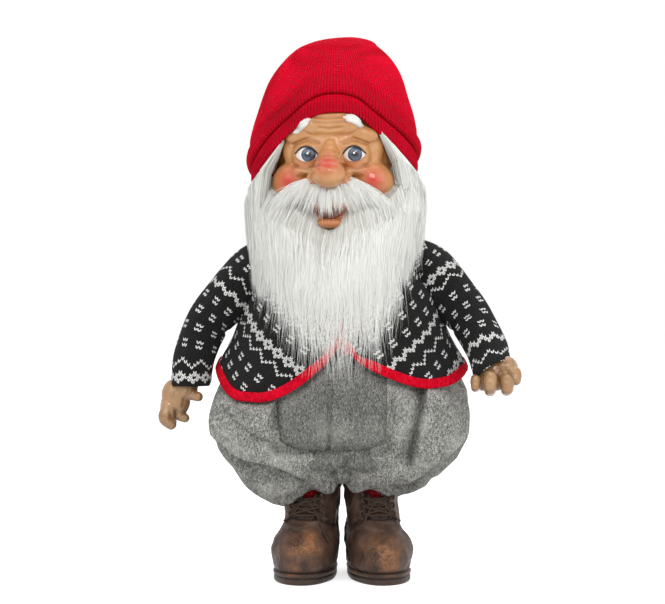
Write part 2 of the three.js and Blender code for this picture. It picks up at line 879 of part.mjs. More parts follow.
// Nose and cheeks, from the head's own sizes.
function faceForms(grow) {
  const eyeLine = blendOf(collarZ, crownZ, 0.52);
  const nose = ball(
    noseRadius + grow,
    new THREE.Vector3(0, -headHalfDepth - 0.35 * noseRadius, eyeLine - 1.25 * noseRadius),
    new THREE.Vector3(1, 1, 1),
    12,
  );
  const cheeks = sides.map(({ sign }) =>
    ball(
      cheekRadius + grow,
      new THREE.Vector3(sign * 0.55 * headHalfWidth, -0.69 * headHalfDepth, eyeLine - 1.3 * cheekRadius),
      new THREE.Vector3(1, 1, 1),
      12,
    ),
  );
  return join(nose, ...cheeks);
}

function headOuter(grow) {
  const neck = bar(neckRadius + grow, collarZ - neckInsert + clearance, blendOf(collarZ, crownZ, 0.1), 0, 20);
  return join(loft(headRings(grow), headSides), faceForms(grow), neck);
}

function addHead() {
  const room = headRings(-headWall).filter((ring, i) => i % 2 === 1);
  const hollow = join(
    loft(room, headSides / 2),
    bar(neckRadius - headWall, collarZ - neckInsert - throughCut, blendOf(collarZ, crownZ, 0.25), 0, 12),
  );
  place("head_shell", cut(headOuter(0), hollow), vinylSkin, headGroup);
}

// Cap: a slouched knitted crown and a ribbed band, cut from one skin along a brim that drops from the forehead
// to the temples and the nape.
const capSides = 22;

function capRings(grow) {
  const top = crownZ + capHeight;
  const low = crownZ - capBackDrop;
  const rows = [
    [low - throughCut, 0.9, 0.86, 0],
    [blendOf(low, crownZ, 0.3), 1, 0.98, 0],
    [blendOf(low, crownZ, 0.55), 0.995, 1, 0],
    [blendOf(low, crownZ, 0.73), 0.93, 0.97, 0],
    [blendOf(low, crownZ, 0.9), 0.85, 0.89, 0],
    [blendOf(crownZ, top, 0.2), 0.735, 0.78, 0.1],
    [blendOf(crownZ, top, 0.63), 0.54, 0.6, 0.36],
    [blendOf(crownZ, top, 0.88), 0.31, 0.36, 0.73],
    [top, 0.1, 0.12, 1],
  ];
  return rows.map(([z, wide, deep, lean]) =>
    level(
      z + (z === top ? grow : 0),
      wide * capHalfWidth + grow,
      deep * capHalfDepth + grow,
      deep * capHalfDepth + grow,
      lean * capLean,
      capBackShift,
    ),
  );
}

// Everything below the brim, moved up by an amount square to the brim's slope.
function belowBrim(up) {
  const reach = capHalfDepth + throughCut;
  const frontZ = crownZ - capFrontRise;
  const sideZ = crownZ - capSideDrop;
  const backZ = crownZ - capBackDrop;
  const slope = Math.atan2(frontZ - sideZ, headHalfDepth);
  const shift = up / Math.cos(slope);
  const line = [
    [-headHalfDepth - throughCut, frontZ + throughCut * Math.tan(slope) + shift],
    [0, sideZ + shift],
    [0.35 * reach, blendOf(sideZ, backZ, 0.6) + blendOf(shift, up, 0.7)],
    [reach, backZ + up],
    [reach, waistZ],
    [-headHalfDepth - throughCut, waistZ],
  ];
  return sideSlab(
    line.map(([y, z]) => new THREE.Vector2(y, z)),
    -capHalfWidth - throughCut,
    capHalfWidth + throughCut,
  );
}

function addCap() {
  const inner = loft(capRings(-capWall), capSides);
  const skin = cut(loft(capRings(0), capSides), inner, belowBrim(0));
  const crown = cut(skin, belowBrim(cuffBand));
  const band = skin.intersect(belowBrim(cuffBand - clearance));
  place("cap_crown", crown, capRed, headGroup);
  place("cap_band", band, capRed, headGroup);
}

// Hair: a fur wig round the back and sides of the head, under the cap and down to the collar.
function hairRings(grow) {
  const low = crownZ - hairDrop;
  return [
    [0, 0.84, 0.86],
    [0.12, 0.97, 0.97],
    [0.35, 1, 1],
    [0.62, 0.97, 0.99],
    [0.78, 0.9, 0.93],
  ].map(([rise, wide, deep]) =>
    level(
      blendOf(low, crownZ, rise),
      wide * (headHalfWidth + hairThickness) + grow,
      deep * (headHalfDepth + hairThickness) + grow,
      deep * (headHalfDepth + hairThickness) + grow,
    ),
  );
}

// The window of the face, open to the front.
function faceWindow() {
  const halfWidth = headHalfWidth + 0.35 * hairThickness;
  const outline = [
    [-halfWidth, crownZ],
    [-halfWidth, collarZ - throughCut],
    [halfWidth, collarZ - throughCut],
    [halfWidth, crownZ],
  ].map(([x, z]) => new THREE.Vector2(x, z));
  return slab(outline, -headHalfDepth - 2 * hairThickness - throughCut, -0.25 * headHalfDepth);
}

function addHair() {
  const capRoom = loft(capRings(-capWall - clearance), capSides);
  const hair = cut(loft(hairRings(0), headSides).intersect(capRoom), headOuter(clearance), faceWindow());
  place("hair", hair, furWhite, headGroup);
}

// Moustache: a roll of fur under the nose with two drooping ends.
function moustacheRings(grow) {
  const rows = 11;
  const middleZ = blendOf(collarZ, crownZ, 0.52) - 2.75 * noseRadius;
  const rings = [];
  for (let i = 0; i < rows; i += 1) {
    const across = (2 * i) / (rows - 1) - 1;
    const droop = moustacheDroop * across * across - moustacheLift * Math.exp(-9 * across * across);
    const radius = moustacheRadius * (0.25 + 0.75 * Math.sqrt(1 - across * across)) + grow;
    rings.push({
      centre: new THREE.Vector3(
        across * moustacheHalfWidth,
        -(headHalfDepth + 0.75 * moustacheRadius) + moustacheSweep * across * across,
        middleZ - droop,
      ),
      side: new THREE.Vector3(0, 0, -radius),
      front: new THREE.Vector3(0, -0.8 * radius, 0),
    });
  }
  return rings;
}

// Beard: a bib of fur from the temples round the jaw and down over the chest. Its back is round about the neck's
// axis, so that it sweeps over the cardigan.
function beardOutline() {
  const tip = collarZ - beardLength;
  const jaw = blendOf(collarZ, crownZ, 0.3);
  const temple = blendOf(collarZ, crownZ, 0.6);
  const shoulderTop = collarZ - shoulderDrop + shoulderRadius + 4 * runningGap;
  const inner = headHalfWidth - beardLap;
  const points = [
    [-inner, temple],
    [-1.1 * inner, temple],
    [-0.92 * beardSideWidth, blendOf(jaw, temple, 0.45)],
    [-beardSideWidth, blendOf(shoulderTop, jaw, 0.6)],
    [-0.97 * beardSideWidth, shoulderTop],
    [-beardHalfWidth, shoulderTop],
    [-0.98 * beardHalfWidth, blendOf(shoulderTop, tip, 0.28)],
    [-0.8 * beardHalfWidth, blendOf(shoulderTop, tip, 0.58)],
    [-0.42 * beardHalfWidth, blendOf(shoulderTop, tip, 0.9)],
    [-0.1 * beardHalfWidth, tip],
    [0.2 * beardHalfWidth, blendOf(shoulderTop, tip, 0.96)],
    [0.6 * beardHalfWidth, blendOf(shoulderTop, tip, 0.68)],
    [0.86 * beardHalfWidth, blendOf(shoulderTop, tip, 0.4)],
    [beardHalfWidth, blendOf(shoulderTop, tip, 0.1)],
    [beardHalfWidth, shoulderTop],
    [0.97 * beardSideWidth, shoulderTop],
    [beardSideWidth, blendOf(shoulderTop, jaw, 0.6)],
    [0.92 * beardSideWidth, blendOf(jaw, temple, 0.45)],
    [1.1 * inner, temple],
    [inner, temple],
    [0.86 * inner, jaw],
    [0.5 * inner, blendOf(collarZ, crownZ, 0.17)],
    [-0.5 * inner, blendOf(collarZ, crownZ, 0.17)],
    [-0.86 * inner, jaw],
  ];
  return points.map(([x, z]) => new THREE.Vector2(x, z));
}

// Radius of the beard's back: it clears the cardigan's outline at the furthest turn of the head.
function beardBack(z) {
  const chestTop = collarZ - shoulderDrop;
  const share = THREE.MathUtils.clamp((chestTop - z) / (chestTop - (collarZ - beardLength)), 0, 1);
  const chestRadius = blendOf(shoulderSpread - chestHollow, hipHalfDepth + cardiganEase, Math.sqrt(share));
  return chestRadius + beardGap;
}

function beardRings(extra) {
  const rows = 7;
  const low = collarZ - beardLength - clearance;
  const high = blendOf(collarZ, crownZ, 0.05);
  const rings = Array.from({ length: rows }, (_, i) => {
    const z = blendOf(low, high, i / (rows - 1));
    const radius = beardBack(z) + extra;
    return level(z, radius, radius);
  });
  return rings;
}

function addBeard() {
  const outerTop = [
    [0.1, 1],
    [0.3, 0.99],
    [0.45, 0.95],
    [0.62, 0.88],
  ].map(([rise, share]) => {
    const radius = share * (headHalfDepth + hairThickness + beardDepth);
    return level(blendOf(collarZ, crownZ, rise), radius, radius);
  });
  const outer = loft([...beardRings(beardDepth), ...outerTop], 26);
  const chestRoom = loft(lengthened(beardRings(0), throughCut, 0), 26);
  const bib = slab(beardOutline(), -2 * headHalfDepth - throughCut, -0.24 * headHalfDepth);
  const hairRoom = cut(loft(hairRings(2 * clearance), headSides), faceWindow());
  const capRoom = cut(loft(lengthened(capRings(clearance), throughCut, 0), capSides), belowBrim(-clearance));
  const beard = cut(
    outer.intersect(bib),
    chestRoom,
    headOuter(clearance),
    hairRoom,
    capRoom,
    loft(moustacheRings(clearance), 10),
  );
  const largest = beard.decompose().reduce((a, b) => (a.volume() > b.volume() ? a : b));
  place("beard", largest, furWhite, headGroup);
}

function addMoustache() {
  place("moustache", cut(loft(moustacheRings(0), 10), headOuter(clearance)), furWhite, headGroup);
}

sides.forEach(addBoot);
sides.forEach(addLeg);
addHipBlock();
addBreeches();
addChest();
addCardigan();
sides.forEach(addArm);
addHead();
addHair();
addMoustache();
addBeard();
addCap();

// The part's origin is the middle of its footprint's box.
const figure = new THREE.Group();
figure.add(doll);
figure.updateMatrixWorld(true);
const reach = new THREE.Box3().setFromObject(figure, true);
doll.position.set(-(reach.min.x + reach.max.x) / 2, -(reach.min.y + reach.max.y) / 2, 0);

export default figure;
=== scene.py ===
import math

import bpy
import numpy as np
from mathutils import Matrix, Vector


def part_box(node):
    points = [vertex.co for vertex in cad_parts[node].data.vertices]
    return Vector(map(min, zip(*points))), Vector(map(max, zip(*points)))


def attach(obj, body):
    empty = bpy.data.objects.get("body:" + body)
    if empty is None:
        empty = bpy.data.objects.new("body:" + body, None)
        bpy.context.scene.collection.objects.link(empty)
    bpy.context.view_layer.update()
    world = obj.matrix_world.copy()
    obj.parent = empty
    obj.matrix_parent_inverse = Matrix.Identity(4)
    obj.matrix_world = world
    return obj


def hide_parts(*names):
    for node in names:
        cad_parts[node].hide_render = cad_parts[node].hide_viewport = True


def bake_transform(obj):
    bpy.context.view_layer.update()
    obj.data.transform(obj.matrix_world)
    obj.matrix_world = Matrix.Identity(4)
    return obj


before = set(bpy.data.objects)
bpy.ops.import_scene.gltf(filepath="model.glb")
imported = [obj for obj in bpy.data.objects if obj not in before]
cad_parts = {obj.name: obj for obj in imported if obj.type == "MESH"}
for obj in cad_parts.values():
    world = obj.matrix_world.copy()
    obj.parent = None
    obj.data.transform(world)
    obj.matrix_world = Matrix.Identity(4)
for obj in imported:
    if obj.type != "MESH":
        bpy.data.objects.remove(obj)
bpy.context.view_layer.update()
scene = bpy.context.scene
mm = 0.001

# the doll's own upright axis, half way between its leg posts
postCorners = np.array([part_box(side + "_leg_post") for side in ("left", "right")])
midX, midY = postCorners[:, :, 0].mean(), postCorners[:, :, 1].mean()
sideSigns = {"left": 1, "right": -1}
print("frame loaded, doll axis at", round(midX / mm, 2), round(midY / mm, 2), "mm")


# small tools

def toFrame(points):
    return np.asarray(points, float) * mm + np.array((midX, midY, 0.0))


def pickNothing():
    if bpy.context.object and bpy.context.object.mode != "OBJECT":
        bpy.ops.object.mode_set(mode="OBJECT")
    bpy.ops.object.select_all(action="DESELECT")


def pickOnly(obj):
    pickNothing()
    obj.select_set(True)
    bpy.context.view_layer.objects.active = obj


def nameIt(obj, name):
    obj.name = name
    obj.data.name = name
    return obj


def applyAll(obj):
    pickOnly(obj)
    for modifier in list(obj.modifiers):
        bpy.ops.object.modifier_apply(modifier=modifier.name)


def settle(obj):
    # the place goes into the mesh, so the object sits at the origin
    pickOnly(obj)
    bpy.ops.object.transform_apply(location=True, rotation=True, scale=True)


def smoothShade(obj):
    pickOnly(obj)
    bpy.ops.object.shade_smooth()


def editAll(obj, job, **settings):
    # one mesh operator on all of a piece
    pickOnly(obj)
    bpy.ops.object.mode_set(mode="EDIT")
    bpy.ops.mesh.select_all(action="SELECT")
    job(**settings)
    bpy.ops.object.mode_set(mode="OBJECT")


def faceOutward(obj):
    editAll(obj, bpy.ops.mesh.normals_make_consistent, inside=False)


def addWall(obj, thickness):
    # a sheet gets its thickness inwards
    wall = obj.modifiers.new("wall", "SOLIDIFY")
    wall.thickness = thickness
    wall.offset = -1
    applyAll(obj)


def joinAll(name, pieces):
    pickNothing()
    for piece in pieces:
        piece.select_set(True)
    bpy.context.view_layer.objects.active = pieces[0]
    bpy.ops.object.join()
    return nameIt(bpy.context.object, name)


def readVertices(obj, what):
    flat = np.empty(len(obj.data.vertices) * 3)
    obj.data.vertices.foreach_get(what, flat)
    return flat.reshape(-1, 3)


def getPoints(obj):
    return readVertices(obj, "co")


def setPoints(obj, points):
    obj.data.vertices.foreach_set("co", np.asarray(points, float).ravel())
    obj.data.update()


def getNormals(obj):
    return readVertices(obj, "normal")


def pushOut(obj, normals, shift):
    # each point moves along its normal, by millimetres
    setPoints(obj, getPoints(obj) + normals * shift[:, None] * mm)


def dollPoints(obj):
    return (getPoints(obj) - np.array((midX, midY, 0.0))) / mm


def setAttribute(obj, name, values):
    attribute = obj.data.attributes.new(name, "FLOAT", "POINT")
    attribute.data.foreach_set("value", np.asarray(values, float))


def along(rows, at):
    # smooth curve through rows of (place, value, value, ...)
    rows = np.array(rows, float)
    places, values = rows[:, 0], rows[:, 1:]
    slope = np.gradient(values, places, axis=0)
    at = np.clip(np.asarray(at, float), places[0], places[-1])
    i = np.clip(np.searchsorted(places, at) - 1, 0, len(places) - 2)
    step = (places[i + 1] - places[i])[:, None]
    t = ((at - places[i])[:, None]) / step
    return ((2 * t**3 - 3 * t**2 + 1) * values[i] + (t**3 - 2 * t**2 + t) * step * slope[i]
            + (3 * t**2 - 2 * t**3) * values[i + 1] + (t**3 - t**2) * step * slope[i + 1])


def smoothStep(low, high, x):
    t = np.clip((np.asarray(x, float) - low) / (high - low), 0, 1)
    return t * t * (3 - 2 * t)


def bell(x, width):
    # 1 at 0, falling off to both sides
    return np.exp(-(x / width) ** 2)


def spotAt(points, centre, size):
    return np.exp(-(((points - centre) / size) ** 2).sum(axis=1))


def bent(wave, power):
    # a sine or cosine made squarer or sharper, for rounded outlines
    return np.sign(wave) * np.abs(wave) ** power


def unit(rows, slack=0.0):
    return rows / (np.linalg.norm(rows, axis=-1, keepdims=True) + slack)


def walkedAlong(points):
    # length of the way from the first point to each
    return np.concatenate(([0], np.cumsum(np.linalg.norm(np.diff(points, axis=0), axis=1))))


def turnFlat(x, y, degrees):
    turn = math.radians(degrees)
    return x * math.cos(turn) - y * math.sin(turn), x * math.sin(turn) + y * math.cos(turn)


def ripple(points, size, seed):
    # soft uneven waves about the given size, mostly between -1 and 1
    waves = 7
    rng = np.random.default_rng(seed)
    total = np.zeros(len(points))
    for _ in range(waves):
        heading = rng.normal(size=3)
        heading *= 2 * math.pi / (size * rng.uniform(0.7, 1.6)) / np.linalg.norm(heading)
        total += np.sin(points @ heading + rng.uniform(0, 2 * math.pi))
    return total / math.sqrt(waves)


def lineDistance(flat, line):
    # distance of flat points to a bent line
    best = np.full(len(flat), 1e9)
    for a, b in zip(line[:-1], line[1:]):
        a, b = np.array(a, float), np.array(b, float)
        run = b - a
        t = np.clip(((flat - a) @ run) / (run @ run), 0, 1)
        best = np.minimum(best, np.linalg.norm(flat - a - t[:, None] * run, axis=1))
    return best


def nearestLine(flat, lines):
    return np.min([lineDistance(flat, line) for line in lines], axis=0)


def grooves(flat, lines, depth, width, shoulder, shoulderAt):
    # how far lines pressed into a surface move it, with a soft ridge beside each
    shift = np.zeros(len(flat))
    for line in lines:
        gap = lineDistance(flat, line)
        shift += -depth * bell(gap, width) + shoulder * bell(gap - shoulderAt * width, width)
    return shift


def press(obj, lines, depth, width, shoulder, facing=-1):
    # grooves where a line drawn on the front (facing -1) or back (1) view crosses the surface
    points, normals = dollPoints(obj), getNormals(obj)
    reach = smoothStep(0.05, 0.35, normals[:, 1] * facing)
    pushOut(obj, normals, grooves(points[:, [0, 2]], lines, depth, width, shoulder, 2.2) * reach)


def shapeGrid(name, columns, rows, place, weld=True):
    # a grid whose points go where place(u, v) says, in millimetres; its cloth coordinates become the UV map
    pickNothing()
    bpy.ops.mesh.primitive_grid_add(x_subdivisions=columns, y_subdivisions=rows, size=2, calc_uvs=True)
    obj = nameIt(bpy.context.object, name)
    flat = getPoints(obj)
    points, cloth = place((flat[:, 0] + 1) / 2, (flat[:, 1] + 1) / 2)
    corners = np.empty(len(obj.data.loops), dtype=int)
    obj.data.loops.foreach_get("vertex_index", corners)
    obj.data.uv_layers[0].data.foreach_set("uv", (cloth[corners] * mm).ravel())
    setPoints(obj, toFrame(points))
    if weld:
        editAll(obj, bpy.ops.mesh.remove_doubles, threshold=2e-6)
    smoothShade(obj)
    return obj


def sweep(name, centres, acrosses, ups, section):
    # a band: the section's (across, up) outline carried along the centres
    count, edge = len(centres), len(section)
    centres, acrosses, ups = np.array(centres), np.array(acrosses), np.array(ups)
    outline = np.vstack((section, section[:1]))
    walked, girth = walkedAlong(centres), walkedAlong(outline)

    def place(u, v):
        i = np.clip(np.round(u * (count - 1)).astype(int), 0, count - 1)
        j = np.clip(np.round(v * edge).astype(int), 0, edge)
        points = centres[i] + acrosses[i] * outline[j, :1] + ups[i] * outline[j, 1:]
        return points, np.column_stack((walked[i], girth[j]))

    return shapeGrid(name, count - 1, edge, place)


def tubeAlong(name, points, radius, taper=None):
    # a round cord through points in millimetres
    curve = bpy.data.curves.new(name, "CURVE")
    curve.dimensions = "3D"
    curve.bevel_depth = radius * mm
    curve.bevel_resolution = 2
    curve.use_fill_caps = True
    spline = curve.splines.new("POLY")
    spline.points.add(len(points) - 1)
    for i, place in enumerate(toFrame(points)):
        spline.points[i].co = (*place, 1)
        spline.points[i].radius = 1 if taper is None else taper[i]
    obj = bpy.data.objects.new(name, curve)
    scene.collection.objects.link(obj)
    pickOnly(obj)
    bpy.ops.object.convert(target="MESH")
    smoothShade(bpy.context.object)
    return nameIt(bpy.context.object, name)


def ballAt(centre, radii, turn=(0, 0, 0), segments=32):
    # a round lump at a place on the doll, in millimetres
    pickNothing()
    bpy.ops.mesh.primitive_uv_sphere_add(segments=segments, ring_count=segments // 2, radius=1,
                                         location=toFrame([centre])[0],
                                         rotation=[math.radians(a) for a in turn])
    obj = bpy.context.object
    obj.scale = [r * mm for r in np.broadcast_to(radii, 3)]
    settle(obj)
    return obj


def melt(obj, voxel, rounds):
    # joined lumps become one skin
    pickOnly(obj)
    obj.data.remesh_voxel_size = voxel * mm
    bpy.ops.object.voxel_remesh()
    soften(obj, rounds)
    smoothShade(obj)
    return obj


def soften(obj, rounds):
    modifier = obj.modifiers.new("soften", "SMOOTH")
    modifier.factor = 0.5
    modifier.iterations = rounds
    applyAll(obj)


# node helpers

def wire(tree, kind, inputs=None, **settings):
    node = tree.nodes.new(kind)
    for key, value in settings.items():
        setattr(node, key, value)
    for key, value in (inputs or {}).items():
        socket = node.inputs[key]
        if isinstance(value, bpy.types.NodeSocket):
            tree.links.new(value, socket)
        else:
            socket.default_value = value
    return node


def calc(tree, operation, *values):
    return wire(tree, "ShaderNodeMath", dict(enumerate(values)), operation=operation).outputs[0]


def times(tree, first, second):
    return calc(tree, "MULTIPLY", first, second)


def plus(tree, first, second):
    return calc(tree, "ADD", first, second)


def minus(tree, first, second):
    return calc(tree, "SUBTRACT", first, second)


def mixTint(tree, factor, first, second):
    return wire(tree, "ShaderNodeMix", {0: factor, 6: first, 7: second}, data_type="RGBA").outputs[2]


def noiseAt(tree, where, scale, detail=3.0, rough=0.55):
    return wire(tree, "ShaderNodeTexNoise", {"Vector": where, "Scale": scale, "Detail": detail,
                                             "Roughness": rough}).outputs[0]


def remap(tree, value, low, high, newLow=0.0, newHigh=1.0):
    return wire(tree, "ShaderNodeMapRange", {0: value, 1: low, 2: high, 3: newLow, 4: newHigh}).outputs[0]


def ramp(tree, value, stops):
    node = wire(tree, "ShaderNodeValToRGB", {0: value})
    while len(node.color_ramp.elements) < len(stops):
        node.color_ramp.elements.new(0.5)
    for element, (place, tint) in zip(node.color_ramp.elements, stops):
        element.position = place
        element.color = (*tint, 1)
    return node.outputs[0]


def tone(red, green, blue):
    # a colour as it is read off a screen, 0 to 255, as the shader wants it
    return tuple((c / 255 / 12.92 if c <= 10.3 else ((c / 255 + 0.055) / 1.055) ** 2.4)
                 for c in (red, green, blue))


def full(tint):
    return (*tint, 1)


def paint(red, green, blue):
    return full(tone(red, green, blue))


def newFinish(name, rough, specular, sheen=0.0, coat=0.0):
    material = bpy.data.materials.new(name)
    material.use_nodes = True
    tree = material.node_tree
    shader = tree.nodes["Principled BSDF"]
    shader.inputs["Roughness"].default_value = rough
    shader.inputs["Sheen Weight"].default_value = sheen
    shader.inputs["Sheen Roughness"].default_value = 0.5
    shader.inputs["Coat Weight"].default_value = coat
    shader.inputs["Coat Roughness"].default_value = 0.15
    shader.inputs["Specular IOR Level"].default_value = specular
    return material, tree, shader


def objectPlace(tree):
    return wire(tree, "ShaderNodeTexCoord").outputs["Object"]


def clothPlace(tree):
    return wire(tree, "ShaderNodeUVMap").outputs["UV"]


def readMark(tree, name):
    # a value that the mesh carries at its points
    return wire(tree, "ShaderNodeAttribute", attribute_name=name).outputs["Fac"]


def feed(tree, node, socket, value):
    tree.links.new(value, node.inputs[socket])


def bumpTo(tree, shader, height, distance):
    bump = wire(tree, "ShaderNodeBump", {"Height": height, "Distance": distance, "Strength": 1.0})
    feed(tree, shader, "Normal", bump.outputs["Normal"])


def newGroup(name, inputs, outputs):
    tree = bpy.data.node_groups.new(name, "ShaderNodeTree")
    for label, kind in inputs:
        tree.interface.new_socket(label, in_out="INPUT", socket_type="NodeSocket" + kind)
    for label, kind in outputs:
        tree.interface.new_socket(label, in_out="OUTPUT", socket_type="NodeSocket" + kind)
    return tree, tree.nodes.new("NodeGroupInput"), tree.nodes.new("NodeGroupOutput")


def useGroup(tree, group, inputs):
    return wire(tree, "ShaderNodeGroup", inputs, node_tree=group)


def onPiece(tree, group, scale):
    # a shared effect laid out by the piece's own coordinates
    return useGroup(tree, group, {"Place": objectPlace(tree), "Scale": scale})


# shared effects

def makeStitchGroup():
    # plain knitting: each stitch is a V of two slanting legs
    tree, given, result = newGroup("stitches", [("Cloth", "Vector"), ("Width", "Float"), ("Rise", "Float")],
                                   [("Column", "Float"), ("Row", "Float"), ("Height", "Float")])
    parts = wire(tree, "ShaderNodeSeparateXYZ", {0: given.outputs["Cloth"]})
    across = calc(tree, "DIVIDE", parts.outputs[0], given.outputs["Width"])
    column = calc(tree, "FLOOR", across)
    fromMiddle = calc(tree, "ABSOLUTE", minus(tree, minus(tree, across, column), 0.5))
    slant = times(tree, fromMiddle, 1.5)
    up = minus(tree, calc(tree, "DIVIDE", parts.outputs[1], given.outputs["Rise"]), slant)
    row = calc(tree, "FLOOR", up)
    inRow = minus(tree, up, row)

    def roundOff(offMiddle):
        return minus(tree, 1.0, calc(tree, "POWER", calc(tree, "ABSOLUTE", offMiddle), 2.0))

    legAcross = roundOff(times(tree, minus(tree, fromMiddle, 0.25), 4.0))
    legAlong = roundOff(minus(tree, times(tree, inRow, 2.0), 1.0))
    height = calc(tree, "SQRT", calc(tree, "MAXIMUM", times(tree, legAcross, legAlong), 0.0))
    for label, value in (("Column", column), ("Row", row), ("Height", height)):
        feed(tree, result, label, value)
    return tree


# rows of the pattern: where each band starts, and its repeat in stitches
nordic = {"rows": 62.0, "lattice": (1, 4), "zigzags": [(7, 6, 1), (42, 4, 2), (49, 6, 1)],
          # first row, lines of flowers
          "flowers": [(13, 4), (54, 1)], "flowerRepeat": 5, "flowerSpacing": 7}


def makeNordicGroup():
    # traditional two-colour knitting: flowers, zigzags and a lattice, by counting stitches
    tree, given, result = newGroup("nordicBands", [("Column", "Float"), ("Row", "Float")],
                                   [("Light", "Float")])
    row = calc(tree, "FLOORED_MODULO", given.outputs["Row"], nordic["rows"])
    column = given.outputs["Column"]

    def within(low, high):
        return times(tree, calc(tree, "GREATER_THAN", row, low - 0.5),
                    calc(tree, "LESS_THAN", row, high + 0.5))

    def offMiddle(repeat):
        stepped = calc(tree, "FLOORED_MODULO", column, float(repeat))
        return calc(tree, "ABSOLUTE", minus(tree, stepped, repeat / 2))

    def flowers(first, lines):
        # two pairs of stitches with a row left out between them
        repeat, spacing = nordic["flowerRepeat"], nordic["flowerSpacing"]
        inBand = minus(tree, row, float(first))
        line = calc(tree, "FLOOR", calc(tree, "DIVIDE", inBand, float(spacing)))
        shift = times(tree, calc(tree, "FLOORED_MODULO", line, 2.0), 2.0)
        stepped = calc(tree, "FLOORED_MODULO", plus(tree, column, shift), float(repeat))
        inLine = calc(tree, "FLOORED_MODULO", inBand, float(spacing))
        offRow = calc(tree, "ABSOLUTE", minus(tree, inLine, 3.0))
        petal = times(tree, calc(tree, "LESS_THAN", stepped, 1.5), calc(tree, "COMPARE", offRow, 1.0, 0.3))
        return times(tree, petal, within(first, first + lines * spacing - 1))

    def zigzag(first, repeat, thick):
        line = plus(tree, offMiddle(repeat), first + (thick - 1) / 2)
        return calc(tree, "LESS_THAN", calc(tree, "ABSOLUTE", minus(tree, row, line)), thick / 2 + 0.1)

    def lattice(first, repeat):
        offRow = calc(tree, "ABSOLUTE", minus(tree, row, first + 2.0))
        total = plus(tree, offMiddle(repeat), offRow)
        return calc(tree, "COMPARE", total, 1.5, 0.6)

    pale = lattice(*nordic["lattice"])
    bands = [zigzag(*band) for band in nordic["zigzags"]] + [flowers(*band) for band in nordic["flowers"]]
    for band in bands:
        pale = calc(tree, "MAXIMUM", pale, band)
    feed(tree, result, "Light", pale)
    return tree


def makeFibreGroup():
    # pressed wool: light and dark fibres lying in all directions
    tree, given, result = newGroup("woolFibres", [("Place", "Vector"), ("Scale", "Float")],
                                   [("Fleck", "Float"), ("Cloud", "Float"), ("Height", "Float")])
    place, scale = given.outputs["Place"], given.outputs["Scale"]
    total = None
    for i, turn in enumerate((0.3, 1.35, 2.4)):
        turned = wire(tree, "ShaderNodeMapping", {"Vector": place, "Rotation": (turn, 1.7 * turn, turn),
                                                  "Scale": (1.0, 0.16, 0.55),
                                                  "Location": (0.37 * i, 0.1, 0.2)})
        fibre = noiseAt(tree, turned.outputs[0], scale, 2.0, 0.6)
        total = fibre if total is None else plus(tree, total, fibre)
    fleck = remap(tree, calc(tree, "DIVIDE", total, 3.0), 0.36, 0.64)
    cloud = noiseAt(tree, place, times(tree, scale, 0.12), 3.0, 0.6)
    feed(tree, result, "Fleck", fleck)
    feed(tree, result, "Cloud", cloud)
    feed(tree, result, "Height", calc(tree, "DIVIDE", total, 3.0))
    return tree


def makeMottleGroup():
    # uneven colour of cast and painted pieces
    tree, given, result = newGroup("castMottle", [("Place", "Vector"), ("Scale", "Float")],
                                   [("Cloud", "Float"), ("Grain", "Float")])
    feed(tree, result, "Cloud", noiseAt(tree, given.outputs["Place"], given.outputs["Scale"], 4.0, 0.6))
    fine = times(tree, given.outputs["Scale"], 14.0)
    feed(tree, result, "Grain", noiseAt(tree, given.outputs["Place"], fine, 3.0, 0.6))
    return tree


stitchGroup = makeStitchGroup()
nordicGroup = makeNordicGroup()
fibreGroup = makeFibreGroup()
mottleGroup = makeMottleGroup()


# finishes

yarn = {"width": 2.9, "rise": 1.85}


def makeNordicKnit(name, firstRow, turned):
    material, tree, shader = newFinish(name, 0.88, sheen=0.03, specular=0.15)
    shift = wire(tree, "ShaderNodeMapping", {"Vector": clothPlace(tree), "Location": (
        0.5 * yarn["width"] * mm, firstRow * yarn["rise"] * mm, 0)})
    stitch = useGroup(tree, stitchGroup, {"Cloth": shift.outputs[0], "Width": yarn["width"] * mm,
                                          "Rise": yarn["rise"] * mm})
    # some pieces are cut with the bands in the other order
    row = times(tree, stitch.outputs["Row"], -1.0) if turned else stitch.outputs["Row"]
    motif = useGroup(tree, nordicGroup, {"Column": stitch.outputs["Column"], "Row": row})
    fibres = onPiece(tree, fibreGroup, 1500.0)
    covered = times(tree, motif.outputs["Light"], remap(tree, stitch.outputs["Height"], 0.2, 0.55))
    dark = mixTint(tree, fibres.outputs["Fleck"], paint(9, 9, 10), paint(44, 43, 43))
    pale = mixTint(tree, fibres.outputs["Fleck"], paint(214, 214, 211), paint(250, 250, 247))
    # painted shade: the dark yarn goes to black down between the stitches' legs
    shaded = mixTint(tree, remap(tree, stitch.outputs["Height"], 0.0, 0.7, 0.55, 0.0), dark,
                     full((0, 0, 0)))
    feed(tree, shader, "Base Color", mixTint(tree, covered, shaded, pale))
    height = plus(tree, stitch.outputs["Height"], times(tree, fibres.outputs["Height"], 0.35))
    bumpTo(tree, shader, height, 0.0007)
    return material


